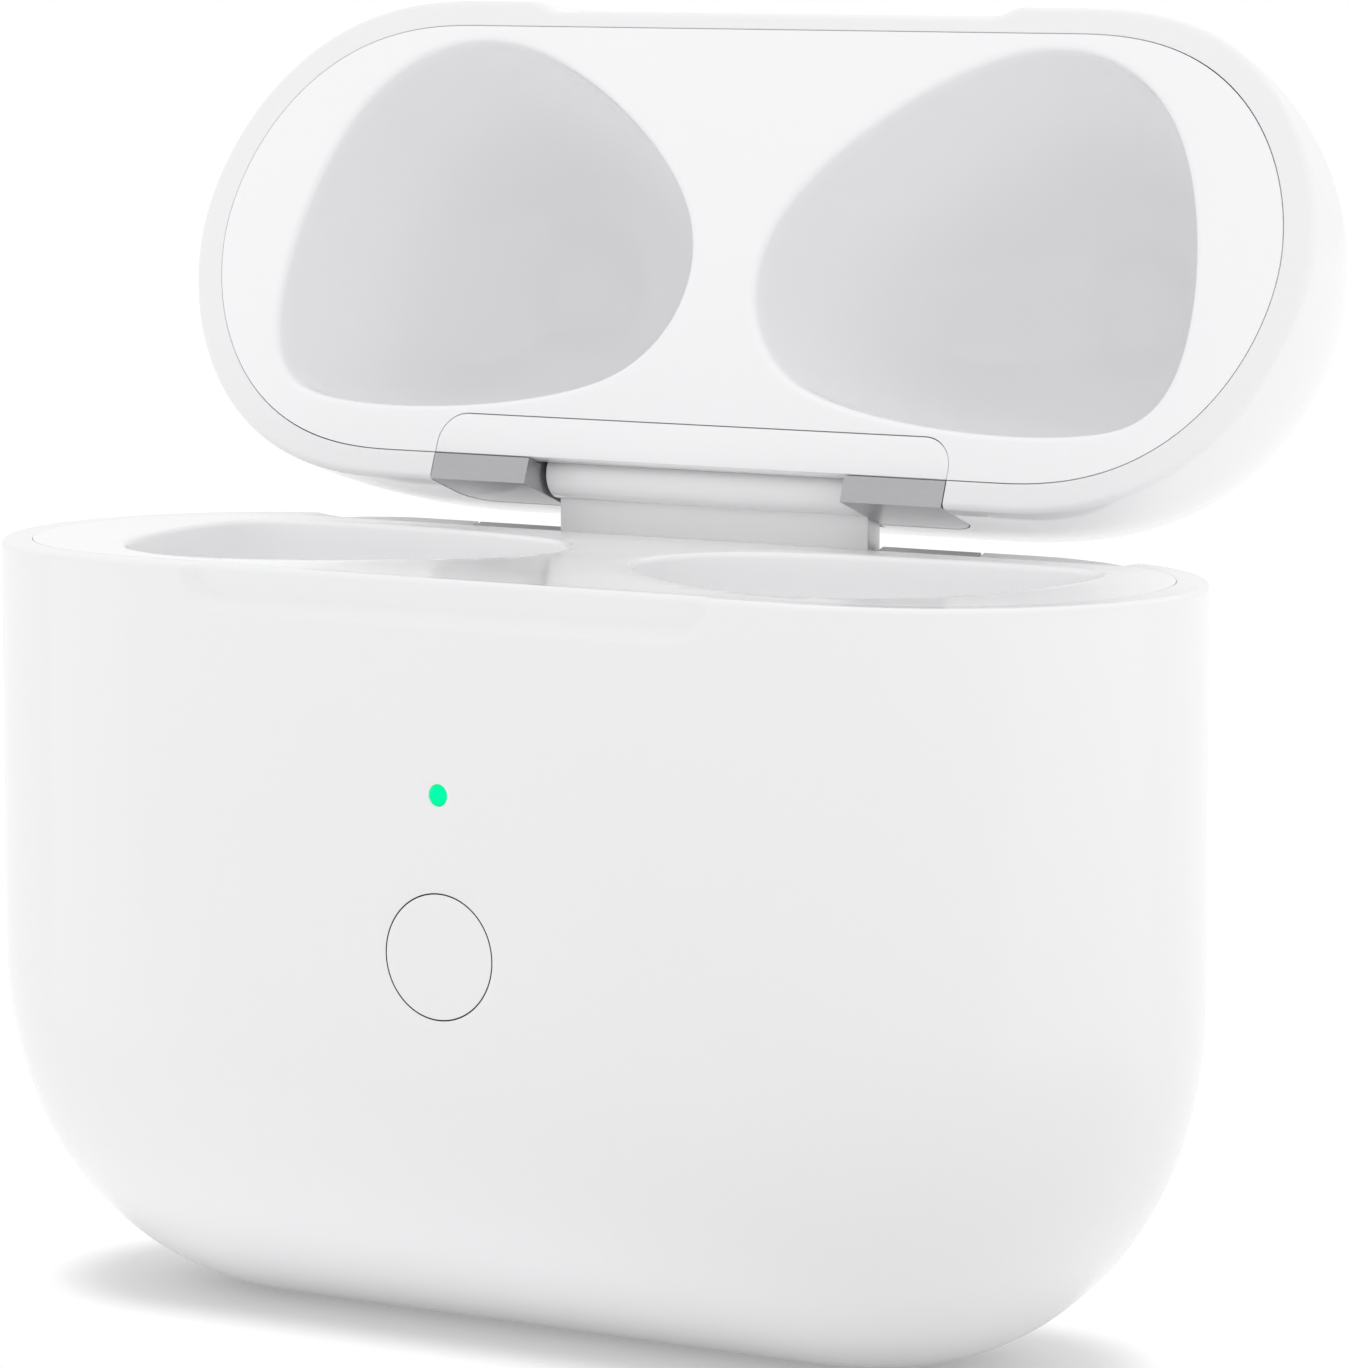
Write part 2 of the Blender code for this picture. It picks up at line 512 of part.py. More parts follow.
# Detent spring: a bowed strip over the barrel, its ends against the bracket's bar.
strip = []
for k in range(13):
    x = -6.8 + 13.6 * k / 12
    strip.append((x, SPLIT_Z + 2.32 + 1.27 + 0.22 * (abs(x) / 6.8) ** 2.2))
strip += [(x, z + 0.15) for x, z in reversed(strip)]
finish(place("detent_spring", extrude(strip, 8.75, 9.8, "Y"), on="lid"), "spring")

for side, word in ((-1, "left"), (1, "right")):
    a, b = sorted((side * 2.6, side * 6.4))
    finish(place("lid_magnet_" + word, rounded_box((a, -9.2, SPLIT_Z + 1.35), (b, -7.5, SPLIT_Z + 3.3), 0.15, 1), on="lid"), "magnet")
finish(place("sensor_magnet", rounded_box((-0.9, -9.0, SPLIT_Z + 1.35), (0.9, -7.7, SPLIT_Z + 2.5), 0.12, 1), on="lid"), "magnet")
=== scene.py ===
"""Looks for the wireless earbuds case: fine moulded shells, liners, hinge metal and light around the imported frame."""
import json
import math

import bmesh
import bpy
import numpy as np
from mathutils import Matrix, Vector
from mathutils.geometry import delaunay_2d_cdt


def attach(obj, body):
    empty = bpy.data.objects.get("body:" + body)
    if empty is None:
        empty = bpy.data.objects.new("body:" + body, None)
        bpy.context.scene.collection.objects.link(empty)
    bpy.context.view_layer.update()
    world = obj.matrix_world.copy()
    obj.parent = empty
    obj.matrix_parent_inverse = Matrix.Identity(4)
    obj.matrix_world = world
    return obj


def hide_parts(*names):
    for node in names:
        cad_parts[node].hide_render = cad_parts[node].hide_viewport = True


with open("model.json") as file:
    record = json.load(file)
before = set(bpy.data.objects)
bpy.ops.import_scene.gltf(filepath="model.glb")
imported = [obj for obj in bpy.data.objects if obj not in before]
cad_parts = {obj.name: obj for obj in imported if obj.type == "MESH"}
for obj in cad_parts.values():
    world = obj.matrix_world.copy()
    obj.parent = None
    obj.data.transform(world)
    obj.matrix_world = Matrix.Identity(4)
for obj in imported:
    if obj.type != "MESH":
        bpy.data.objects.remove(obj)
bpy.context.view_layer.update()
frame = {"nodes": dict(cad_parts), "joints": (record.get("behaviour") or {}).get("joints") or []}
MM = 0.001

# ---- the design's own numbers, in millimetres, lid shut, mid-plane y = 0 -----
WIDTH, DEPTH, HEIGHT, SPLIT = 54.4, 21.38, 46.4, 31.4
FLAT = 0.35
CX, CZ, CN, CT = 14.5, 15.5, 2.185, 14.9
ED, EP, EQ = 12.45, 2.475, 1.892
WX, WY, WZ = 1.35, 1.16, 1.25
FIT, SEAM = 0.04, 0.06
RIM = SPLIT + SEAM
SWEEP_R, SWEEP_IN, SWEEP_OUT = 2.62, 18.9, 20.4
DISCS = ((19.2, 4.4, 2.75), (14.1, -1.9, 7.1), (6.85, 1.1, 5.3))
STEM_X, STEM_Y, STEM_R, STEM_FLOOR = 13.4, -1.0, 3.1, 6.3
BUTTON_Z, BUTTON_R, BUTTON_GAP = 16.45, 2.5, 0.055
LED_Z, LED_R = 22.9, 0.42

lid_joint = [j for j in frame["joints"] if j["name"] == "lid_hinge"][0]
HP = Vector(lid_joint["pos_m"])                    # hinge axis at rest, metres
HINGE_Y, HINGE_Z = 9.55, SPLIT + 2.32
SHIFT_Y = HP.y / MM - HINGE_Y                      # body mid-plane in the frame
OPEN = math.radians(lid_joint["range_deg"][1])
COS, SIN = math.cos(OPEN), math.sin(OPEN)


def to_base(p):
    p = np.asarray(p, float).copy()
    p[:, 1] += SHIFT_Y
    return p * MM


def to_lid(p):
    p = np.asarray(p, float)
    dy, dz = p[:, 1] - HINGE_Y, p[:, 2] - HINGE_Z
    out = np.empty_like(p)
    out[:, 0] = p[:, 0]
    out[:, 1] = HINGE_Y + dy * COS + dz * SIN + SHIFT_Y
    out[:, 2] = HINGE_Z - dy * SIN + dz * COS
    return out * MM


def smooth(a, b, t):
    t = np.clip((np.asarray(t, float) - a) / (b - a), 0, 1)
    return t * t * (3 - 2 * t)


# =============================================================================
# A small mesh builder
# =============================================================================
class Build:
    def __init__(self):
        self.v, self.f = [], []

    def points(self, pts):
        start = len(self.v)
        self.v += [tuple(map(float, p)) for p in pts]
        return list(range(start, len(self.v)))

    def strip(self, a, b, closed=False, flip=False):
        n = len(a)
        for i in range(n if closed else n - 1):
            j = (i + 1) % n
            q = (a[i], a[j], b[j], b[i])
            self.f.append(tuple(reversed(q)) if flip else q)

    def rows(self, rows, closed=False, flip=False):
        for a, b in zip(rows, rows[1:]):
            self.strip(a, b, closed, flip)

    def fill(self, loops, inner, lift, flip=False):
        """Triangles over a flat region. loops: list of 2D loops, the first is the outside, the rest are holes."""
        co, edges = [], []
        for loop in loops:
            s = len(co)
            co += [tuple(p) for p in loop]
            edges += [(s + i, s + (i + 1) % len(loop)) for i in range(len(loop))]
        inner = np.asarray(inner, float).reshape(-1, 2)
        if len(inner):
            keep = within(inner, loops[0]) & (gap(inner, loops[0]) > 0.09)
            for hole in loops[1:]:
                keep &= ~within(inner, hole) & (gap(inner, hole) > 0.09)
            co += [tuple(p) for p in inner[keep]]
        out = delaunay_2d_cdt([Vector(p) for p in co], edges, [], 0, 1e-7)
        pts = np.array([tuple(p) for p in out[0]], float)
        tri = np.array([f for f in out[2] if len(f) == 3], int)
        mid = pts[tri].mean(1)
        keep = within(mid, loops[0])
        for hole in loops[1:]:
            keep &= ~within(mid, hole)
        tri = tri[keep]
        ids = self.points(lift(pts))
        for a, b, c in tri:
            t = (ids[a], ids[b], ids[c])
            self.f.append(tuple(reversed(t)) if flip else t)

    def object(self, name, place, outward=None, weld=0.002):
        bm = bmesh.new()
        vs = [bm.verts.new(p) for p in self.v]
        for f in self.f:
            if len(set(f)) >= 3:
                try:
                    bm.faces.new([vs[i] for i in f])
                except ValueError:
                    pass
        bmesh.ops.remove_doubles(bm, verts=bm.verts, dist=weld)
        loose = [v for v in bm.verts if not v.link_faces]
        bmesh.ops.delete(bm, geom=loose, context="VERTS")
        bmesh.ops.dissolve_degenerate(bm, dist=weld * 0.5, edges=bm.edges)
        bmesh.ops.recalc_face_normals(bm, faces=bm.faces)
        if outward is not None:        # an open sheet: turn it so that the face nearest the point looks along the vector
            where, look = Vector(outward[0]), Vector(outward[1])
            near = min(bm.faces, key=lambda f: (f.calc_center_median() - where).length)
            if near.normal.dot(look) < 0:
                bmesh.ops.reverse_faces(bm, faces=bm.faces)
        elif bm.calc_volume(signed=True) < 0:
            bmesh.ops.reverse_faces(bm, faces=bm.faces)
        bm.verts.ensure_lookup_table()
        co = place(np.array([v.co for v in bm.verts]))
        for v, p in zip(bm.verts, co):
            v.co = p
        me = bpy.data.meshes.new(name)
        bm.to_mesh(me)
        bm.free()
        ob = bpy.data.objects.new(name, me)
        bpy.context.scene.collection.objects.link(ob)
        return ob


def within(p, loop):
    """Which points lie inside a closed 2D loop."""
    p, q = np.asarray(p, float), np.asarray(loop, float)
    a, b = q, np.roll(q, -1, 0)
    hit = np.zeros(len(p), int)
    for i in range(len(a)):
        y0, y1 = a[i, 1], b[i, 1]
        if y0 == y1:
            continue
        c = (p[:, 1] >= min(y0, y1)) & (p[:, 1] < max(y0, y1))
        x = a[i, 0] + (p[:, 1] - y0) / (y1 - y0) * (b[i, 0] - a[i, 0])
        hit += c & (x > p[:, 0])
    return hit % 2 == 1


def gap(p, loop):
    p, q = np.asarray(p, float), np.asarray(loop, float)
    best = np.full(len(p), 1e9)
    for a, b in zip(q, np.roll(q, -1, 0)):
        d = b - a
        t = np.clip(((p - a) @ d) / max(d @ d, 1e-12), 0, 1)
        best = np.minimum(best, np.hypot(*(p - a - t[:, None] * d).T))
    return best


def apply(ob):
    bpy.context.view_layer.update()
    dg = bpy.context.evaluated_depsgraph_get()
    me = bpy.data.meshes.new_from_object(ob.evaluated_get(dg))
    ob.modifiers.clear()
    ob.data = me
    return ob


def cut(ob, tools, how="DIFFERENCE"):
    for t in tools:
        m = ob.modifiers.new("b", "BOOLEAN")
        m.operation, m.solver, m.object = how, "EXACT", t
    apply(ob)
    for t in tools:
        bpy.data.objects.remove(t)
    return ob


def shade(ob, angle=28):
    ob.data.shade_smooth()
    ob.data.set_sharp_from_angle(angle=math.radians(angle))
    return ob


def prism(name, outline, lo, hi, axis, place, bevel=0.0, segments=2, steps=1):
    """A closed outline pushed along an axis, with softened edges."""
    put = {
        "Y": lambda p, w: (p[0], w, p[1]),
        "X": lambda p, w: (w, p[0], p[1]),
        "Z": lambda p, w: (p[0], p[1], w),
    }[axis]
    b = Build()
    rows = [b.points([put(p, lo + (hi - lo) * k / steps) for p in outline]) for k in range(steps + 1)]
    b.rows(rows, closed=True)
    b.f.append(tuple(rows[0]))
    b.f.append(tuple(rows[-1]))
    ob = b.object(name, place, weld=0.0002)
    if bevel:
        m = ob.modifiers.new("bev", "BEVEL")
        m.width, m.segments, m.limit_method = bevel * MM, segments, "ANGLE"
        m.angle_limit = math.radians(40)
        m.harden_normals = False
        apply(ob)
    return ob


def rounded(corners, segments=8):
    out, n = [], len(corners)
    for i, (x, y, r) in enumerate(corners):
        if r <= 0:
            out.append((x, y))
            continue
        p = Vector((x, y))
        a = (Vector(corners[i - 1][:2]) - p).normalized()
        c = (Vector(corners[(i + 1) % n][:2]) - p).normalized()
        half = a.angle(c) / 2
        m = p + (a + c).normalized() * (r / math.sin(half))
        s, e = p + a * (r / math.tan(half)) - m, p + c * (r / math.tan(half)) - m
        turn = s.angle(e)
        for k in range(segments + 1):
            w = k / segments
            out.append(tuple(m + (s * math.sin((1 - w) * turn) + e * math.sin(w * turn)) / math.sin(turn)))
    return out


def circle(cx, cy, r, n):
    return [(cx + r * math.cos(2 * math.pi * i / n), cy + r * math.sin(2 * math.pi * i / n)) for i in range(n)]


def oval(w, t, segments=12):
    r, out = t / 2, []
    for side in (1, -1):
        for k in range(segments + 1):
            a = -math.pi / 2 + math.pi * k / segments
            out.append((side * (w / 2 - r + r * math.cos(a)), side * r * math.sin(a)))
    return out


# =============================================================================
# The pebble form: columns round the edge, from the front flat over the rim to the back flat
# =============================================================================
ROLL = 34                                   # columns from the rim to each flat
THETA = [math.pi / 2 * k / ROLL for k in range(-ROLL, ROLL + 1)]


def column(theta, edge, half):
    """(inward distance from the outline, y) for one column."""
    m = math.cos(theta)
    y = half * (1 - abs(m) ** EP) ** (1 / EQ) if abs(theta) > 1e-9 else 0.0
    return edge * (1 - m), math.copysign(y, theta) if theta else 0.0


def body_outline(d, ix, iz, top):
    """Points in x, z of the body's outline moved in by d, from the right rim down and round to the left rim."""
    a, low, rx, rz = WIDTH / 2 - ix, -FLAT + iz, CX - ix, CZ - iz
    out = []
    n = 16
    for k in range(n):
        out.append((a - d, top + (low + rz - top) * k / n))
    e, n = 2 / CN, 56
    for k in range(n + 1):
        s = math.pi / 2 * k / n
        u, v = max(math.cos(s), 0) ** e, math.sin(s) ** e
        nx, nz = u ** (CN - 1) / rx, v ** (CN - 1) / rz
        q = math.hypot(nx, nz)
        out.append((a - rx + rx * u - d * nx / q, low + rz - rz * v + d * nz / q))
    run = a - rx
    mid = [(run * (1 - k / 12.0), low + d) for k in range(1, 12)]
    right = out + mid
    return right + [(0.0, low + d)] + [(-x, z) for x, z in reversed(right)]


def lid_outline(d, ix, iz, base):
    """Points in x, z of the lid's outline moved in by d, from the right rim up and over to the left rim."""
    a, top, r = WIDTH / 2 - ix, HEIGHT - iz, CT - (ix + iz) / 2
    cx, cz, n = a - r, top - r, 56
    s0 = math.asin(max(-1, min(1, (base - cz) / (r - d))))
    out = []
    for k in range(n + 1):
        s = s0 + (math.pi / 2 - s0) * k / n
        out.append((cx + (r - d) * math.cos(s), cz + (r - d) * math.sin(s)))
    out += [(cx * (1 - k / 12.0), top - d) for k in range(1, 12)]
    return out + [(0.0, top - d)] + [(-x, z) for x, z in reversed(out)]


def rim_section(ix, iy, base_lift=0.0):
    """The closed section at the split plane: (x, y, outward normal x, y) anticlockwise from the front right."""
    edge, half, a = ED - (ix + (WZ if ix else 0)) / 2 if ix else ED, DEPTH / 2 - iy, WIDTH / 2 - ix
    if ix:
        edge = ED - (ix + ix * WZ / WX) / 2
    right = []
    for t in THETA:
        d, y = column(t, edge, half)
        right.append((a - d, y))
    flat = a - edge
    back = [(flat * g, half) for g in TOPS]
    left = [(-x, y) for x, y in reversed(right)]
    front = [(-flat * g, -half) for g in TOPS]
    p = np.array(right + back + left + front)
    q = np.roll(p, -1, 0) - np.roll(p, 1, 0)
    nrm = np.stack([q[:, 1], -q[:, 0]], 1)
    nrm /= np.hypot(*nrm.T)[:, None]
    return p, nrm


# where points stand along the straight top edges of the flats, as shares of the half width, from +1 to -1
_x = [14.4, 14.0]
_x += list(np.arange(13.7, 9.6, -0.16))
_x += list(np.arange(9.4, -9.5, -0.5))
_x += list(np.arange(-9.7, -13.75, -0.16)) + [-14.0, -14.4]
_x = sorted(set(round(v, 3) for v in _x) | set(round(-v, 3) for v in _x), reverse=True)
TOPS = [v / 14.75 for v in _x]


def groove(p):
    """The shallow channel that the lid's rear rim swings through."""
    p = np.asarray(p, float).copy()
    dy = p[:, 1] - HINGE_Y
    floor = HINGE_Z - np.sqrt(np.maximum(SWEEP_R ** 2 - dy ** 2, 0))
    floor = np.where(np.abs(dy) < SWEEP_R, floor, 99)
    w = 1 - smooth(SWEEP_IN, SWEEP_OUT, np.abs(p[:, 0]))
    drop = np.maximum(p[:, 2] - floor, 0)
    near = p[:, 2] > SPLIT - 0.6
    p[:, 2] -= drop * w * near
    return p


def press(x, z, half, level, r, depth, soft, up):
    """Depth of a pressed recess whose far side runs to the split: rounded lower corners, soft edge."""
    x, z = np.abs(np.asarray(x, float)), np.asarray(z, float)
    qx = x - (half - r)
    qz = (level + r - z) if up > 0 else (z - (level - r))
    dist = np.hypot(np.maximum(qx, 0), np.maximum(qz, 0)) + np.minimum(np.maximum(qx, qz), 0) - r
    return depth * (1 - smooth(-soft, 0.0, dist))


def thumb_body(x, z):
    return press(x, z, 12.75, SPLIT - 2.0, 1.9, 0.42, 0.85, 1)


def thumb_lid(x, z):
    """Notch in the lid's front rim: deep at the rim, fading upwards."""
    side = 1 - smooth(10.7, 12.3, np.abs(np.asarray(x, float)) + (np.asarray(z, float) - RIM) * 1.0)
    up = 1 - smooth(0.35, 1.5, np.asarray(z, float) - RIM)
    return 0.45 * side * up


def flatten(p):
    """The underside meets the ground in a small flat with a soft edge."""
    p = np.asarray(p, float).copy()
    c = 0.22
    z = p[:, 2]
    soft = np.where(z < -c, 0.0, np.where(z < c, (z + c) ** 2 / (4 * c), z))
    p[:, 2] = soft
    return p


def pebble_skin(b, part, ix, iy, iz, cut_z, holes, dent, mend, flip, dense=True):
    """Outer or inner skin of the body or the lid, up to the level cut_z, with its two flats filled."""
    edge, half = ED - (ix + iz) / 2, DEPTH / 2 - iy
    outline = body_outline if part == "body" else lid_outline
    cols = []
    for t in THETA:
        d, y = column(t, edge, half)
        cols.append(mend(np.array([(x, y, z) for x, z in outline(d, ix, iz, cut_z)])))
    ids = [b.points(c) for c in cols]
    b.rows(ids, flip=flip)
    a = WIDTH / 2 - ix
    ring = outline(edge, ix, iz, cut_z)
    top = [((a - edge) * g, cut_z) for g in TOPS]
    loop = [tuple(p) for p in ring] + [(-x, z) for x, z in top]
    loop = [p for i, p in enumerate(loop) if math.dist(p, loop[i - 1]) > 1e-4]
    xs = np.arange(-14, 14.1, 1.0)
    lo, hi = min(p[1] for p in ring), max(p[1] for p in ring)
    lo, hi = min(lo, cut_z), max(hi, cut_z)
    coarse = np.array([(x, z) for x in xs for z in np.arange(lo + 0.5, hi, 1.0)])
    for side in (-1, 1):
        inner = coarse
        hole_loops = holes if side < 0 else []
        if side < 0 and dent is not None and dense:
            if part == "body":
                fx = np.concatenate([np.arange(-13.4, -10.0, 0.14), np.arange(-9.9, 10, 0.45), np.arange(10.1, 13.5, 0.14)])
                fz = np.arange(SPLIT - 2.3, cut_z - 0.05, 0.12)
            else:
                fx = np.concatenate([np.arange(-12.9, -9.0, 0.14), np.arange(-8.8, 8.9, 0.45), np.arange(9.0, 13.0, 0.14)])
                fz = np.arange(cut_z + 0.08, RIM + 1.8, 0.12)
            fine = np.array([(x, z) for x in fx for z in fz])
            keep = (np.abs(coarse[:, 0]) > 13.7) | (coarse[:, 1] < fz.min() - 0.3) | (coarse[:, 1] > fz.max() + 0.3)
            inner = np.concatenate([coarse[keep], fine])

        def lift(p, side=side):
            q = np.stack([p[:, 0], np.full(len(p), side * half), p[:, 1]], 1)
            if side < 0 and dent is not None:
                q[:, 1] += dent(p[:, 0], p[:, 1])
            return mend(q)

        b.fill([loop] + hole_loops, inner, lift, flip=(side > 0) != flip)


def shell(name, part, place):
    """Body or lid shell: outer skin, rounded rim, inner skin, closed."""
    b = Build()
    up = 1 if part == "body" else -1           # which way the rim looks
    level = SPLIT if part == "body" else RIM
    fillet, inner_fillet = 0.28, 0.03
    z_out, z_in = level - up * fillet, level - up * 1.0
    dent = thumb_body if part == "body" else thumb_lid
    holes_out = holes_in = []
    if part == "body":
        lip = 0.012
        holes_out = [circle(0, BUTTON_Z, BUTTON_R + BUTTON_GAP + lip, 96), circle(0, LED_Z, LED_R + 0.03 + lip, 40)]
        holes_in = [circle(0, BUTTON_Z, BUTTON_R + BUTTON_GAP, 96), circle(0, LED_Z, LED_R + 0.03, 40)]
    mend = flatten if part == "body" else (lambda p: p)
    pebble_skin(b, part, 0, 0, 0, z_out, holes_out, dent, mend, False)
    pebble_skin(b, part, WX, WY, WZ, z_in, holes_in, None, (lambda p: p), True, dense=False)
    for ho, hi_ in zip(holes_out, holes_in):
        rings = []
        for k in range(4):
            t = math.pi / 2 * k / 3
            w = (1 - math.sin(t))
            y = -DEPTH / 2 + lip * (1 - math.cos(t))
            rings.append(b.points([(xi + (xo - xi) * w, y, zi + (zo - zi) * w) for (xo, zo), (xi, zi) in zip(ho, hi_)]))
        rings.append(b.points([(x, -DEPTH / 2 + WY, z) for x, z in hi_]))
        b.rows(rings, closed=True)
    po, no = rim_section(0, 0)
    pi_, ni = rim_section(WX, WY)
    dz = np.zeros(len(po))
    front = (po[:, 1] < 0) & (np.abs(po[:, 0]) < 14.76)
    rings = []

    def ring(p, z):
        q = np.stack([p[:, 0], p[:, 1], np.broadcast_to(z, len(p))], 1)
        if part == "body":
            q = groove(q)
        rings.append(b.points(q))

    no2 = no.copy()
    no2[front] = (0, -1)

    def shifted(p, z):
        q = p.copy()
        q[front, 1] += dent(po[front, 0], np.broadcast_to(z, front.sum()))
        return q

    for k in range(7):
        t = math.pi / 2 * k / 6
        z = z_out + up * fillet * math.sin(t)
        ring(shifted(po, z) - no2 * fillet * (1 - math.cos(t)), z)
    outer = shifted(po, level) - no2 * fillet
    inner = pi_ + ni * inner_fillet
    for k in range(1, 8):
        ring(outer + (inner - outer) * k / 8, level)
    for k in range(4):
        t = math.pi / 2 * k / 3
        ring(pi_ + ni * inner_fillet * (1 - math.sin(t)), level - up * inner_fillet * (1 - math.cos(t)))
    ring(pi_, level - up * 0.5)
    ring(pi_, z_in)
    b.rows(rings, closed=True)
    return b.object(name, place)


# =============================================================================
# Pockets
# =============================================================================
def pocket(phi, grow):
    c, s = math.cos(phi), math.sin(phi)
    g = [x * c + y * s + r + grow for x, y, r in DISCS]
    t = [-x * s + y * c for x, y, r in DISCS]
    m = max(g)
    w = [math.exp(v - m) for v in g]
    total = sum(w)
    h = m + math.log(total)
    dh = sum(p * q for p, q in zip(w, t)) / total
    return h * c - dh * s, h * s + dh * c


def pocket_angles(n):
    """Normal angles spread evenly by arc length of the outline."""
    fine = [2 * math.pi * i / 2000 for i in range(2001)]
    p = np.array([pocket(a, 0) for a in fine])
    s = np.concatenate([[0], np.cumsum(np.hypot(*np.diff(p, axis=0).T))])
    at = np.interp(np.linspace(0, s[-1], n, endpoint=False), s, fine)
    even = np.arange(n) * 2 * math.pi / n
    return list(0.75 * at + 0.25 * even)


def spline(knots, count):
    """Smooth curve through rows of numbers, by Catmull-Rom on chord length, resampled."""
    k = np.array(knots, float)
    s = np.concatenate([[0], np.cumsum(np.sqrt((np.diff(k[:, :2], axis=0) ** 2).sum(1)) + 1e-6)])
    tan = np.empty_like(k)
    tan[1:-1] = ((k[2:] - k[1:-1]) / (s[2:] - s[1:-1])[:, None] * (s[1:-1] - s[:-2])[:, None]
                 + (k[1:-1] - k[:-2]) / (s[1:-1] - s[:-2])[:, None] * (s[2:] - s[1:-1])[:, None]) / (s[2:] - s[:-2])[:, None]
    tan[0] = (k[1] - k[0]) / (s[1] - s[0])
    tan[-1] = (k[-1] - k[-2]) / (s[-1] - s[-2])
    out = []
    for v in np.linspace(0, s[-1], count):
        i = min(max(int(np.searchsorted(s, v) - 1), 0), len(k) - 2)
        h = s[i + 1] - s[i]
        t = (v - s[i]) / h
        out.append((2 * t ** 3 - 3 * t ** 2 + 1) * k[i] + (t ** 3 - 2 * t ** 2 + t) * h * tan[i]
                   + (-2 * t ** 3 + 3 * t ** 2) * k[i + 1] + (t ** 3 - t ** 2) * h * tan[i + 1])
    return np.array(out)


POINTS = 120
ANGLES = pocket_angles(POINTS)


def pocket_ring(side, grow, k, share, middle, extra=0.0):
    mx, my = middle
    out = []
    for phi in ANGLES:
        px, py = pocket(phi, grow)
        x, y = mx + (px - mx) * k, my + (py - my) * k
        cx, cy = mx + STEM_R * math.cos(phi), my + STEM_R * math.sin(phi)
        out.append((side * (x + (cx - x) * share), y + (cy - y) * share))
    return out


def plate_points(extra_rear):
    xs = np.arange(-26, 26.1, 1.1)
    ys = np.arange(-9.3, 9.3, 0.95)
    pts = [(x, y) for x in xs for y in ys if not (extra_rear and y > 8.0)]
    if extra_rear:
        pts += [(x, y) for x in np.arange(-21.5, 21.6, 0.4) for y in np.arange(8.15, 9.45, 0.16)]
    return pts


def tray():
    """Deck plate with the two earbud wells, the stem sockets and their floors, as one moulded skin with a wall."""
    b = Build()
    ix, iy = WX + 0.018, WY + 0.018
    per, nrm = rim_section(ix, iy)
    lip, wall = 0.3, -0.87
    outer = [tuple(p) for p in per]
    wells = {s: pocket_ring(s, wall + lip, 1.0, 0, (STEM_X, STEM_Y)) for s in (-1, 1)}

    def lift(p):
        return groove(np.stack([p[:, 0], p[:, 1], np.full(len(p), SPLIT)], 1))

    b.fill([outer, wells[-1], wells[1]], plate_points(True), lift)
    top = b.points(lift(np.array(outer)))
    skirt = b.points([(x, y, SPLIT - 1.2) for x, y in outer])
    b.strip(top, skirt, closed=True)
    knots = [(0.0, 5.0, 0), (-1.5, 4.925, 0), (-3.5, 4.70, 0), (-6.0, 4.2, 0), (-8.4, 3.4, 0),
             (-10.0, 2.6, 0.2), (-11.2, 2.1, 0.65), (-12.6, 2.0, 1.0)]
    curve = spline(knots, 40)
    curve = [(z, min(k, 5.0) / 5, min(max(m, 0), 1)) for z, k, m in curve if z < -lip - 0.12]
    for s in (-1, 1):
        rings = []
        for i in range(7):
            a = math.pi / 2 * i / 6
            z = -lip + lip * math.cos(a)
            rings.append([(x, y, SPLIT + z) for x, y in
                          pocket_ring(s, wall + lip - lip * math.sin(a), 1.0, 0, (STEM_X, STEM_Y))])
        for z, k, m in curve:
            rings.append([(x, y, SPLIT + z) for x, y in pocket_ring(s, wall, k, m, (STEM_X, STEM_Y))])
        for z in (17.0, 15.0, 12.5, 10.0, 8.0):
            rings.append([(x, y, z) for x, y in pocket_ring(s, wall, 0.4, 1.0, (STEM_X, STEM_Y))])
        r = 0.5
        for i in range(6):
            a = math.pi / 2 * i / 5
            rings.append([(s * (STEM_X + (STEM_R - r + r * math.cos(a)) * math.cos(p)),
                           STEM_Y + (STEM_R - r + r * math.cos(a)) * math.sin(p),
                           STEM_FLOOR + r - r * math.sin(a)) for p in ANGLES])
        ids = [b.points(q) for q in rings]
        b.rows(ids, closed=True)
        floor = [(x, y) for x, y, z in rings[-1]]
        holes = [circle(s * STEM_X, STEM_Y + dy, 0.77, 24) for dy in (-1.25, 1.25)]
        b.fill([floor] + holes, [], lambda p: np.stack([p[:, 0], p[:, 1], np.full(len(p), STEM_FLOOR)], 1))
    ob = b.object("tray_skin", to_base, outward=((0, 0, SPLIT), (0, 0, 1)))
    m = ob.modifiers.new("wall", "SOLIDIFY")
    m.thickness, m.offset, m.use_even_offset = 0.45 * MM, -1, True
    return shade(apply(ob), 32)


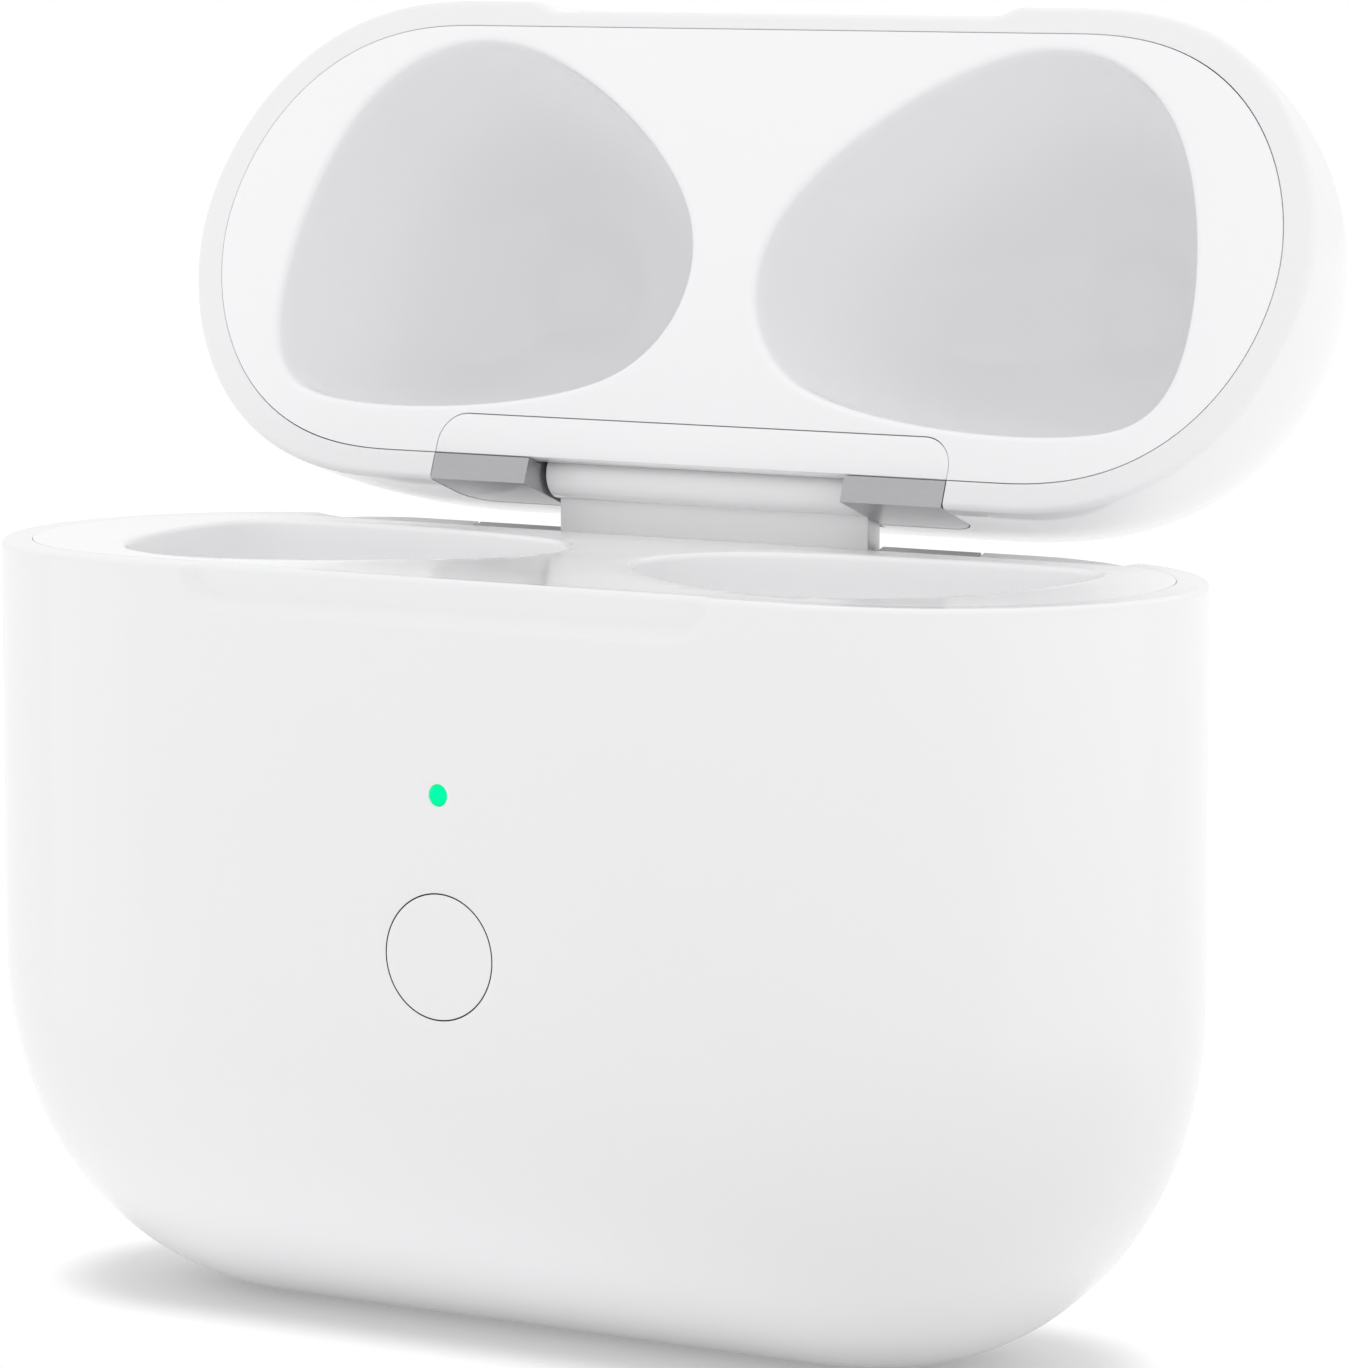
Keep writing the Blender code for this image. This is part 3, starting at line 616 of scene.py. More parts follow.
def liner():
    """Lid liner: plate in the rim plane, two domed pockets, a bay for the hinge cover."""
    b = Build()
    ix, iy = WX + FIT, WY + FIT
    per, nrm = rim_section(ix, iy)
    bay = rounded([(12.54, 9.49, 0), (12.54, 7.72, 1.35), (-12.54, 7.72, 1.35), (-12.54, 9.49, 0)], 10)
    outer, done = [], False
    for p in per:
        if p[1] > 9.0 and abs(p[0]) <= 12.54:
            if not done:
                outer += bay
                done = True
            continue
        outer.append(tuple(p))
    lip, wall = 0.34, -0.16
    mid = (13.4, -0.6)
    domes = {s: pocket_ring(s, wall + lip, 1.0, 0, mid) for s in (-1, 1)}

    def lift(p):
        return np.stack([p[:, 0], p[:, 1], np.full(len(p), RIM)], 1)

    b.fill([outer, domes[-1], domes[1]], plate_points(False), lift)
    top = b.points(lift(np.array(outer)))
    skirt = b.points([(x, y, RIM + 0.95) for x, y in outer])
    b.strip(top, skirt, closed=True)
    knots = [(0.0, 7.0), (1.5, 6.9), (3.5, 6.62), (5.8, 6.02), (8.0, 4.97), (9.6, 3.7), (10.6, 2.3), (11.0, 1.0), (11.08, 0.0)]
    curve = [(z, min(k, 7) / 7) for z, k in spline(knots, 52) if z > lip + 0.12]
    for s in (-1, 1):
        rings = []
        for i in range(7):
            a = math.pi / 2 * i / 6
            z = lip - lip * math.cos(a)
            rings.append([(x, y, z) for x, y in pocket_ring(s, wall + lip - lip * math.sin(a), 1.0, 0, mid)])
        for z, k in curve[:-1]:
            rings.append([(x, y, z) for x, y in pocket_ring(s, wall, max(k, 0.012), 0, mid)])
        ids = []
        for ring in rings:
            q = np.array(ring)
            rho = np.hypot(np.abs(q[:, 0]) - 13.9, q[:, 1] + 0.9)
            q[:, 2] += RIM + 0.32 * (1 - smooth(1.7, 3.5, rho)) * smooth(7.6, 9.6, q[:, 2])
            ids.append(b.points(q))
        b.rows(ids, closed=True)
        b.f.append(tuple(ids[-1]))
    ob = b.object("liner_skin", to_lid, outward=((0, 0, RIM), (0, 0, -1)))
    m = ob.modifiers.new("wall", "SOLIDIFY")
    m.thickness, m.offset, m.use_even_offset = 0.42 * MM, -1, True
    return shade(apply(ob), 32)


# =============================================================================
# Materials
# =============================================================================
def new_material(name, rough, metal=0.0, **sockets):
    m = bpy.data.materials.new(name)
    m.use_nodes = True
    s = m.node_tree.nodes["Principled BSDF"]
    s.inputs["Roughness"].default_value = rough
    s.inputs["Metallic"].default_value = metal
    for k, v in sockets.items():
        s.inputs[k.replace("_", " ")].default_value = v
    return m, m.node_tree, s


def noise(tree, scale, detail=3.0, stretch=None, rough=0.55):
    co = tree.nodes.new("ShaderNodeTexCoord")
    out = co.outputs["Object"]
    if stretch:
        mp = tree.nodes.new("ShaderNodeMapping")
        mp.inputs["Scale"].default_value = stretch
        tree.links.new(out, mp.inputs["Vector"])
        out = mp.outputs["Vector"]
    n = tree.nodes.new("ShaderNodeTexNoise")
    n.inputs["Scale"].default_value = scale
    n.inputs["Detail"].default_value = detail
    n.inputs["Roughness"].default_value = rough
    tree.links.new(out, n.inputs["Vector"])
    return n.outputs["Fac"]


def ramp(tree, fac, stops):
    r = tree.nodes.new("ShaderNodeValToRGB")
    r.color_ramp.elements[0].position, r.color_ramp.elements[0].color = stops[0][0], (*stops[0][1], 1)
    r.color_ramp.elements[1].position, r.color_ramp.elements[1].color = stops[-1][0], (*stops[-1][1], 1)
    for pos, colour in stops[1:-1]:
        e = r.color_ramp.elements.new(pos)
        e.color = (*colour, 1)
    tree.links.new(fac, r.inputs["Fac"])
    return r.outputs["Color"]


def vary(tree, fac, lo, hi):
    r = tree.nodes.new("ShaderNodeMapRange")
    r.inputs["From Min"].default_value, r.inputs["From Max"].default_value = 0.3, 0.7
    r.inputs["To Min"].default_value, r.inputs["To Max"].default_value = lo, hi
    tree.links.new(fac, r.inputs["Value"])
    return r.outputs["Result"]


def bump(tree, s, height, strength, distance):
    b = tree.nodes.new("ShaderNodeBump")
    b.inputs["Strength"].default_value = strength
    b.inputs["Distance"].default_value = distance
    tree.links.new(height, b.inputs["Height"])
    tree.links.new(b.outputs["Normal"], s.inputs["Normal"])


def plastic(name, colour, rough, spread, grain, strength, tint=0.012, **sockets):
    m, tree, s = new_material(name, rough, **sockets)
    soft = noise(tree, 90, 2.0)
    lo = tuple(max(c - tint, 0) for c in colour)
    tree.links.new(ramp(tree, soft, [(0.3, lo), (0.7, colour)]), s.inputs["Base Color"])
    tree.links.new(vary(tree, noise(tree, 420, 4.0), rough - spread, rough + spread), s.inputs["Roughness"])
    bump(tree, s, noise(tree, grain, 3.0), strength, 0.00002)
    return m


def steel(name, colour, rough, stretch=(40, 900, 900), strength=0.25):
    m, tree, s = new_material(name, rough, 1.0)
    lines = noise(tree, 40, 5.0, stretch=stretch, rough=0.6)
    lo = tuple(c * 0.9 for c in colour)
    tree.links.new(ramp(tree, lines, [(0.3, lo), (0.7, colour)]), s.inputs["Base Color"])
    tree.links.new(vary(tree, lines, rough - 0.06, rough + 0.07), s.inputs["Roughness"])
    bump(tree, s, lines, strength, 0.000006)
    return m


GLOSS = plastic("case_white_gloss", (0.862, 0.862, 0.872), 0.07, 0.012, 3000, 0.012, tint=0.006)
BUTTON = plastic("button_white_gloss", (0.862, 0.862, 0.872), 0.08, 0.012, 3500, 0.012, tint=0.006)
SATIN = plastic("liner_white_satin", (0.915, 0.913, 0.925), 0.10, 0.015, 3000, 0.012, tint=0.006)
TRAY = plastic("tray_white_satin", (0.925, 0.923, 0.932), 0.12, 0.015, 3000, 0.012, tint=0.006)
PIVOT = plastic("knuckle_white", (0.93, 0.93, 0.935), 0.16, 0.02, 3000, 0.015, tint=0.006)
# Painted shadow: a dark grey that stands in for the shade inside the parting gaps round the button.
SHADOW = plastic("painted_gap_shadow", (0.10, 0.10, 0.105), 0.6, 0.05, 4000, 0.05, tint=0.01)
STEEL = steel("hinge_steel_satin", (0.50, 0.495, 0.51), 0.34, strength=0.08)
PORT = steel("port_steel_drawn", (0.62, 0.62, 0.63), 0.24, stretch=(900, 900, 30))
SPRING = steel("spring_steel_polished", (0.60, 0.60, 0.61), 0.18)
GOLD = steel("contact_gold", (0.90, 0.68, 0.30), 0.20, stretch=(300, 300, 300), strength=0.1)
MAGNET = steel("magnet_nickel", (0.66, 0.66, 0.67), 0.16, stretch=(60, 60, 60), strength=0.15)
WEIGHT = steel("counterweight_steel", (0.42, 0.42, 0.43), 0.38, stretch=(60, 60, 60), strength=0.2)
BLACK = plastic("black_moulded", (0.035, 0.035, 0.036), 0.45, 0.08, 9000, 0.2, tint=0.012)


def led_material():
    m, tree, s = new_material("status_light_green", 0.6, Specular_IOR_Level=0.02)
    col = ramp(tree, noise(tree, 1500, 2.0), [(0.3, (0.0, 0.50, 0.20)), (0.7, (0.0, 0.54, 0.22))])
    tree.links.new(col, s.inputs["Base Color"])
    tree.links.new(col, s.inputs["Emission Color"])
    s.inputs["Emission Strength"].default_value = 0.95
    bump(tree, s, noise(tree, 6000, 2.0), 0.05, 0.00001)
    return m


def foil_material():
    m, tree, s = new_material("pouch_foil", 0.35, 0.85)
    n = noise(tree, 500, 6.0)
    tree.links.new(ramp(tree, n, [(0.25, (0.50, 0.51, 0.53)), (0.75, (0.64, 0.65, 0.67))]), s.inputs["Base Color"])
    tree.links.new(vary(tree, n, 0.25, 0.5), s.inputs["Roughness"])
    bump(tree, s, n, 0.5, 0.0001)
    return m


def board_material():
    m, tree, s = new_material("solder_mask_green", 0.4)
    co = tree.nodes.new("ShaderNodeTexCoord")
    br = tree.nodes.new("ShaderNodeTexBrick")
    br.inputs["Scale"].default_value = 700
    br.inputs["Mortar Size"].default_value = 0.06
    br.inputs["Color1"].default_value = (0.012, 0.12, 0.05, 1)
    br.inputs["Color2"].default_value = (0.015, 0.14, 0.06, 1)
    br.inputs["Mortar"].default_value = (0.04, 0.26, 0.12, 1)
    mp = tree.nodes.new("ShaderNodeMapping")
    mp.inputs["Rotation"].default_value = (math.pi / 2, 0, 0)
    tree.links.new(co.outputs["Object"], mp.inputs["Vector"])
    tree.links.new(mp.outputs["Vector"], br.inputs["Vector"])
    tree.links.new(br.outputs["Color"], s.inputs["Base Color"])
    tree.links.new(vary(tree, noise(tree, 900), 0.32, 0.46), s.inputs["Roughness"])
    bump(tree, s, br.outputs["Fac"], 0.3, 0.00003)
    return m


def coil_material():
    m, tree, s = new_material("enamelled_winding", 0.3, 1.0)
    co = tree.nodes.new("ShaderNodeTexCoord")
    mp = tree.nodes.new("ShaderNodeMapping")
    mp.inputs["Location"].default_value = (0, 0, -0.0175)
    tree.links.new(co.outputs["Object"], mp.inputs["Vector"])
    w = tree.nodes.new("ShaderNodeTexWave")
    w.wave_type, w.rings_direction = "RINGS", "Y"
    w.inputs["Scale"].default_value = 900
    tree.links.new(mp.outputs["Vector"], w.inputs["Vector"])
    tree.links.new(ramp(tree, w.outputs["Fac"], [(0.1, (0.35, 0.13, 0.06)), (0.6, (0.82, 0.42, 0.24))]), s.inputs["Base Color"])
    tree.links.new(vary(tree, noise(tree, 900), 0.24, 0.36), s.inputs["Roughness"])
    bump(tree, s, w.outputs["Fac"], 0.6, 0.00005)
    return m


TRAY.node_tree.nodes["Principled BSDF"].inputs["Specular IOR Level"].default_value = 0.3


def paint_dome_shade(m, origin, axis, lo, hi, factor):
    """Painted shade: deep in a pocket the moulding's colour is made a shade darker, standing in for the shade that
    falls on the dome's floor.
    """
    tree = m.node_tree
    s = tree.nodes["Principled BSDF"]
    co = tree.nodes.new("ShaderNodeTexCoord")
    sub = tree.nodes.new("ShaderNodeVectorMath")
    sub.operation = "SUBTRACT"
    tree.links.new(co.outputs["Object"], sub.inputs[0])
    sub.inputs[1].default_value = origin
    dot = tree.nodes.new("ShaderNodeVectorMath")
    dot.operation = "DOT_PRODUCT"
    tree.links.new(sub.outputs[0], dot.inputs[0])
    dot.inputs[1].default_value = axis
    r = tree.nodes.new("ShaderNodeMapRange")
    r.interpolation_type = "SMOOTHSTEP"
    r.inputs["From Min"].default_value, r.inputs["From Max"].default_value = lo, hi
    r.inputs["To Min"].default_value, r.inputs["To Max"].default_value = 1.0, factor
    tree.links.new(dot.outputs["Value"], r.inputs["Value"])
    mix = tree.nodes.new("ShaderNodeVectorMath")
    mix.operation = "SCALE"
    old = s.inputs["Base Color"].links[0].from_socket
    tree.links.new(old, mix.inputs[0])
    tree.links.new(r.outputs["Result"], mix.inputs["Scale"])
    tree.links.new(mix.outputs[0], s.inputs["Base Color"])


LIGHT = led_material()
FOIL, BOARD, COIL = foil_material(), board_material(), coil_material()
FERRITE = plastic("ferrite_sheet", (0.07, 0.07, 0.07), 0.6, 0.1, 5000, 0.3, tint=0.03)

for node, mat in {
    "battery_cell": FOIL, "battery_board": BOARD, "main_board": BOARD, "board_shield": PORT,
    "charge_chip": BLACK, "hall_sensor": BLACK, "led_emitter": LIGHT, "tact_switch": PORT,
    "charging_coil": COIL, "coil_ferrite": FERRITE, "base_magnet_left": MAGNET, "base_magnet_right": MAGNET,
    "bud_magnet_left": MAGNET, "bud_magnet_right": MAGNET, "lid_magnet_left": MAGNET, "lid_magnet_right": MAGNET,
    "sensor_magnet": MAGNET, "counterweight_left": WEIGHT, "counterweight_right": WEIGHT, "detent_spring": SPRING, "hinge_pin": SPRING,
}.items():
    ob = frame["nodes"][node]
    ob.data.materials.clear()
    ob.data.materials.append(mat)


def finish(ob, body, nodes, mat):
    ob.data.materials.clear()
    ob.data.materials.append(mat)
    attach(ob, body)
    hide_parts(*nodes)
    return ob


# =============================================================================
# Body pieces
# =============================================================================
case = shell("case_shell", "body", to_base)
slotcut = prism("c1", oval(9.2, 3.5), -2, 3, "Z", to_base)
pocketcut = prism("c2", [(-12.5, SPLIT - 5.2), (12.5, SPLIT - 5.2), (12.5, SPLIT - 0.8), (-12.5, SPLIT - 0.8)], 8.9, 10.18, "Y", to_base)
topcut = prism("c3", [(-12.5, SPLIT - 0.85), (12.5, SPLIT - 0.85), (12.5, SPLIT + 3), (-12.5, SPLIT + 3)], 8.9, 13, "Y", to_base)
cut(case, [slotcut, pocketcut, topcut])
finish(shade(case, 30), "base", ["lower_shell"], GLOSS)


def paint_gap_shadow(ob, inside):
    """Faces down in a parting gap take a dark grey material: painted shadow, standing in for the shade inside the gap.
    """
    ob.data.materials.append(SHADOW)
    for f in ob.data.polygons:
        c = f.center / MM
        if inside(math.hypot(c.x, c.z - BUTTON_Z), c.y - SHIFT_Y, f.normal.y):
            f.material_index = 1


# Painted shadow: the walls of the button hole in the case are coloured dark grey for the shade in the gap.
paint_gap_shadow(case, lambda r, y, n: 2.4 < r < 2.62 and -DEPTH / 2 + 0.015 < y < -9.4 and abs(n) < 0.5)

deck = tray()
finish(deck, "base", ["inner_tray"], TRAY)

# Button: crowned-edge cap with its flange and nub, turned round its own axis.
def turned(name, profile, axis_xz, count, place):
    """profile: (radius, y) pairs from the front centre to the rear centre."""
    b = Build()
    rows = []
    for r, y in profile:
        rows.append(b.points([(axis_xz[0] + max(r, 1e-4) * math.cos(2 * math.pi * i / count), y,
                               axis_xz[1] + max(r, 1e-4) * math.sin(2 * math.pi * i / count)) for i in range(count)]))
    b.rows(rows, closed=True)
    b.f.append(tuple(rows[0]))
    b.f.append(tuple(rows[-1]))
    return b.object(name, place, weld=0.00005)


F = -DEPTH / 2
cap = turned("round_button", [(0.4, F), (1.4, F), (2.4, F), (2.485, F), (2.493, F + 0.002), (2.498, F + 0.007), (2.5, F + 0.015),
                              (2.5, F + 0.6), (2.5, -9.45), (2.95, -9.45), (2.95, -9.15), (0.8, -9.15), (0.8, -8.98), (0.75, -8.95), (0.3, -8.95)],
             (0, BUTTON_Z), 96, to_base)
finish(shade(cap, 30), "button", ["pair_button"], BUTTON)
# Painted shadow: the button's side wall inside the gap is coloured dark grey for the shade there.
paint_gap_shadow(cap, lambda r, y, n: r > 2.42 and y > -DEPTH / 2 + 0.02)

lens = turned("status_light", [(0.06, F - 0.006), (0.2, F - 0.005), (0.32, F), (0.39, F + 0.012), (0.42, F + 0.04), (0.42, -9.25), (0.38, -9.2), (0.1, -9.2)],
              (0, LED_Z), 40, to_base)
finish(shade(lens, 40), "base", ["led_lens"], LIGHT)

# Hinge leaf let into the rear wall, with its two caps at rim level.
def groove_tool(name):
    return prism(name, [(HINGE_Y + SWEEP_R * math.cos(2 * math.pi * i / 96), HINGE_Z + SWEEP_R * math.sin(2 * math.pi * i / 96)) for i in range(96)],
                 -20.5, 20.5, "X", to_base)


leaf = prism("leaf_plate", [(-12.38, 26.4), (12.38, 26.4), (12.38, 31.34), (7.66, 31.34), (7.66, 30.4), (-7.66, 30.4), (-7.66, 31.34), (-12.38, 31.34)],
             9.62, 10.12, "Y", to_base)
caps = [prism("cap", [(min(s * 7.66, s * 12.38), 30.66), (max(s * 7.66, s * 12.38), 30.66), (max(s * 7.66, s * 12.38), 31.34), (min(s * 7.66, s * 12.38), 31.34)],
              9.8, 10.62, "Y", to_base) for s in (-1, 1)]
cut(leaf, caps, "UNION")
cut(leaf, [groove_tool("g")])
m = leaf.modifiers.new("bev", "BEVEL")
m.width, m.segments, m.limit_method, m.angle_limit = 0.05 * MM, 2, "ANGLE", math.radians(40)
apply(leaf)
finish(shade(leaf, 35), "base", ["hinge_leaf"], STEEL)

# Knuckle: plate and barrel in one moulding.
plate = []
r, bz, by = 1.08, HINGE_Z, HINGE_Y
outline = [(9.57, 30.66), (10.55, 30.66), (10.55, 33.38)]
a0, a1 = math.atan2(33.38 - bz, 0), math.pi + math.asin(0)
start = math.atan2(-0.40, 1.003)
for k in range(25):
    a = start + (math.pi * 1.5 - 0.02 - start) * k / 24
    outline.append((by + r * math.cos(a), bz + r * math.sin(a)))
outline.append((9.57, 32.66))
knuckle = prism("knuckle_plate", outline, -7.56, 7.56, "X", to_base)
bore = prism("c4", circle(by, bz, 0.56, 32), -9, 9, "X", to_base)
cut(knuckle, [bore])
m = knuckle.modifiers.new("bev", "BEVEL")
m.width, m.segments, m.limit_method, m.angle_limit = 0.07 * MM, 2, "ANGLE", math.radians(40)
apply(knuckle)
finish(shade(knuckle, 30), "base", ["hinge_knuckle"], PIVOT)

# Charging port: drawn sleeve with a rolled mouth, black tongue with contact strips.
def sleeve(name, w, t, wall, z0, z1, place):
    b = Build()
    e = 0.09
    prof = [(wall, z0 + e), (wall * 0.72, z0 + 0.02), (wall * 0.5, z0), (wall * 0.28, z0 + 0.02), (0.0, z0 + e), (0.0, z1 - 0.12), (0.08, z1 - 0.03), (0.2, z1)]
    rows = [b.points([(x, y, z) for x, y in oval(w - 2 * i, t - 2 * i)]) for i, z in prof]
    b.rows(rows, closed=True)
    b.f.append(tuple(rows[-1]))
    inner = [b.points([(x, y, z) for x, y in oval(w - 2 * wall, t - 2 * wall)]) for z in (z0 + e, z1 - 0.4)]
    b.rows(inner, closed=True)
    b.f.append(tuple(inner[-1]))
    return b.object(name, place, weld=0.0005)


port = sleeve("port_sleeve", 8.9, 3.2, 0.32, 0.35, 6.0, to_base)
finish(shade(port, 40), "base", ["charge_port_shell"], PORT)
tongue = prism("port_tongue", [(-3.35, 1.1), (3.35, 1.1), (3.35, 5.55), (-3.35, 5.55)], -0.35, 0.35, "Y", to_base, bevel=0.1, segments=3)
finish(shade(tongue, 40), "base", ["charge_port_tongue"], BLACK)
strips = Build()
for s in (-1, 1):
    for i in range(12):
        x = -2.75 + 0.5 * i
        w = 0.13
        y0, y1 = sorted((s * 0.34, s * 0.372))
        ids = strips.points([(x + dx, y, z) for z in (1.4, 4.4) for dx, y in ((-w, y0), (w, y0), (w, y1), (-w, y1))])
        a, c = ids[:4], ids[4:]
        strips.strip(a, c, closed=True)
        strips.f += [tuple(a), tuple(c)]
pads = strips.object("port_contacts", to_base, weld=0.0002)
pads.data.materials.append(GOLD)
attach(pads, "base")

# Sprung contacts in the stem sockets.
def upright(name, x, y, profile, count, place):
    b = Build()
    rows = [b.points([(x + max(r, 1e-4) * math.cos(2 * math.pi * i / count), y + max(r, 1e-4) * math.sin(2 * math.pi * i / count), z)
                      for i in range(count)]) for r, z in profile]
    b.rows(rows, closed=True)
    b.f.append(tuple(rows[0]))
    b.f.append(tuple(rows[-1]))
    return b.object(name, place, weld=0.00005)


for s, word in ((-1, "left"), (1, "right")):
    for dy, where in ((-1.25, "front"), (1.25, "rear")):
        tag = word + "_" + where
        x, y = s * STEM_X, STEM_Y + dy
        ob = upright("barrel_" + tag, x, y, [(0.2, 4.3), (0.48, 4.3), (0.48, 6.82), (0.52, 6.9), (0.66, 6.9), (0.72, 6.82), (0.72, 3.98), (0.64, 3.9), (0.2, 3.9)], 32, to_base)
        finish(shade(ob, 40), "base", ["contact_barrel_" + tag], GOLD)
        ob = upright("plunger_" + tag, x, y, [(0.1, 5.0), (0.38, 5.0), (0.42, 5.05), (0.42, 7.45), (0.39, 7.58), (0.3, 7.66), (0.1, 7.7)], 28, to_base)
        finish(shade(ob, 50), "plunger_" + tag, ["contact_plunger_" + tag], GOLD)

# =============================================================================
# Lid pieces
# =============================================================================
lid = shell("lid_shell_outer", "lid", to_lid)
hole = prism("c5", rounded([(-12.55, SPLIT - 1, 0), (12.55, SPLIT - 1, 0), (12.55, SPLIT + 3.55, 1.35), (-12.55, SPLIT + 3.55, 1.35)], 10), 8.3, 13, "Y", to_lid)
recess = prism("c6", [(-7.76, SPLIT + 1), (7.76, SPLIT + 1), (7.76, SPLIT + 4.0), (-7.76, SPLIT + 4.0)], 8.3, 13, "Y", to_lid)
cut(lid, [hole, recess])
finish(shade(lid, 30), "lid", ["lid_shell"], GLOSS)

inner = liner()
# Painted shade: the liner's base colour darkens with depth in the domes, for the shade deep in the cavities.
paint_dome_shade(SATIN, tuple(to_lid(np.array([[0.0, 0.0, RIM]]))[0]), (0, SIN, COS), 0.0040, 0.0100, 0.90)
finish(inner, "lid", ["lid_liner"], SATIN)

cover = prism("hinge_cover_plate", rounded([(-12.5, 9.49, 0), (-12.5, 7.76, 1.3), (12.5, 7.76, 1.3), (12.5, 9.49, 0)], 12), RIM, RIM + 0.8, "Z", to_lid,
              bevel=0.04, segments=2)
finish(shade(cover, 30), "lid", ["hinge_cover"], SATIN)

bracket = prism("bracket_metal", [(-11.1, SPLIT + 4.15), (11.1, SPLIT + 4.15), (11.1, SPLIT + 5.0), (-11.1, SPLIT + 5.0)], 8.35, 9.3, "Y", to_lid)
parts = []
for s in (-1, 1):
    face = [(7.74, RIM), (12.5, RIM), (12.5, SPLIT + 3.5 - 1.3)]
    face += [(12.5 - 1.3 + 1.3 * math.cos(t), SPLIT + 3.5 - 1.3 + 1.3 * math.sin(t)) for t in [math.pi / 2 * k / 8 for k in range(1, 9)]]
    face += [(7.74, SPLIT + 3.5)]
    face = [(s * x, z) for x, z in face]
    parts.append(prism("b1", face, 9.55, 10.67, "Y", to_lid))
    a, b_ = sorted((s * 7.74, s * 11.1))
    parts.append(prism("b2", [(a, RIM + 0.9), (b_, RIM + 0.9), (b_, SPLIT + 3.3), (a, SPLIT + 3.3)], 8.35, 9.7, "Y", to_lid))
    parts.append(prism("b3", [(a, RIM + 2.0), (b_, RIM + 2.0), (b_, SPLIT + 4.6), (a, SPLIT + 4.6)], 8.35, 9.3, "Y", to_lid))
cut(bracket, parts, "UNION")
cut(bracket, [prism("c7", circle(HINGE_Y, HINGE_Z, 0.53, 32), -12, 12, "X", to_lid)])
m = bracket.modifiers.new("bev", "BEVEL")
m.width, m.segments, m.limit_method, m.angle_limit = 0.07 * MM, 2, "ANGLE", math.radians(40)
apply(bracket)
finish(shade(bracket, 35), "lid", ["hinge_bracket"], STEEL)

# =============================================================================
# Camera, light, floor
# =============================================================================
AZ, EL, ROLLED = math.radians(32.558), math.radians(7.089), math.radians(-0.074)
back = Vector((math.sin(AZ) * math.cos(EL), -math.cos(AZ) * math.cos(EL), math.sin(EL)))
right = Vector((math.cos(AZ), math.sin(AZ), 0))
upv = back.cross(right)
right2 = right * math.cos(ROLLED) + upv * math.sin(ROLLED)
up2 = upv * math.cos(ROLLED) - right * math.sin(ROLLED)
target = (Vector((0, 0, 25.82)) + right * 3.321 + Vector((0, SHIFT_Y, 0))) * MM
cam_data = bpy.data.cameras.new("camera")
cam = bpy.data.objects.new("camera", cam_data)
bpy.context.scene.collection.objects.link(cam)
cam_data.lens, cam_data.sensor_width = 174.4, 36.0
cam_data.shift_x, cam_data.shift_y = 0.0042, 0.0068
cam_data.clip_start, cam_data.clip_end = 0.01, 50
cam.matrix_world = Matrix.Translation(target + back * 269.291 * MM) @ Matrix((right2, up2, back)).transposed().to_4x4()
bpy.context.scene.camera = cam

LEVELS = {"table": 0.205, "halo": 0.09, "left_panel": 0.26, "right_panel": 0.24, "ground": 0.195, "world": 0.955,
          "overhead": 0.8, "back_top": 1.3}

floor_b = Build()
n = 24
half = 6000.0
rows = [floor_b.points([(-half + 2 * half * i / n, -half + 2 * half * j / n, -0.02) for i in range(n + 1)]) for j in range(n + 1)]
floor_b.rows(rows)
floor = floor_b.object("studio_floor", lambda p: p * MM, outward=((0, 0, 0), (0, 0, 1)))
fm, tree, s = new_material("floor_paper", 0.8)
tree.links.new(ramp(tree, noise(tree, 30, 2.0), [(0.3, (0.60, 0.60, 0.60)), (0.7, (0.62, 0.62, 0.62))]), s.inputs["Base Color"])
s.inputs["Specular IOR Level"].default_value = 0.1


def math_node(tree, op, a, b=None, c=None):
    n = tree.nodes.new("ShaderNodeMath")
    n.operation = op
    for k, v in enumerate((a, b, c)):
        if v is None:
            continue
        if isinstance(v, (int, float)):
            n.inputs[k].default_value = v
        else:
            tree.links.new(v, n.inputs[k])
    return n.outputs[0]


def rise(tree, v, lo, hi):
    n = tree.nodes.new("ShaderNodeMapRange")
    n.interpolation_type = "SMOOTHSTEP"
    n.inputs["From Min"].default_value, n.inputs["From Max"].default_value = lo, hi
    tree.links.new(v, n.inputs["Value"])
    return n.outputs["Result"]


# The paper is lit from below like a light table: fainter under the object, with two bright panels for the gloss to mirror.
co = tree.nodes.new("ShaderNodeTexCoord")
sep = tree.nodes.new("ShaderNodeSeparateXYZ")
tree.links.new(co.outputs["Object"], sep.inputs[0])
px = sep.outputs[0]
py = math_node(tree, "SUBTRACT", sep.outputs[1], SHIFT_Y * MM)
rho = math_node(tree, "SQRT", math_node(tree, "ADD", math_node(tree, "MULTIPLY", px, px), math_node(tree, "MULTIPLY", py, py)))
az = math_node(tree, "MULTIPLY", math_node(tree, "ARCTAN2", px, math_node(tree, "MULTIPLY", py, -1.0)), 180 / math.pi)
over = math_node(tree, "MAXIMUM", math_node(tree, "SUBTRACT", math_node(tree, "ABSOLUTE", px), 0.0165), 0.0)
dist = math_node(tree, "SQRT", math_node(tree, "ADD", math_node(tree, "MULTIPLY", over, over), math_node(tree, "MULTIPLY", py, py)))
toward = math_node(tree, "SUBTRACT", math_node(tree, "MULTIPLY", px, 0.533), math_node(tree, "MULTIPLY", py, 0.846))
apron = math_node(tree, "MULTIPLY", rise(tree, toward, 0.0090, 0.025), math_node(tree, "SUBTRACT", 1.0, rise(tree, rho, 0.045, 0.115)))
under = math_node(tree, "SUBTRACT", 1.0, rise(tree, dist, 0.0060, 0.0103))
far = math_node(tree, "SUBTRACT", 1.0, math_node(tree, "MAXIMUM", apron, under))
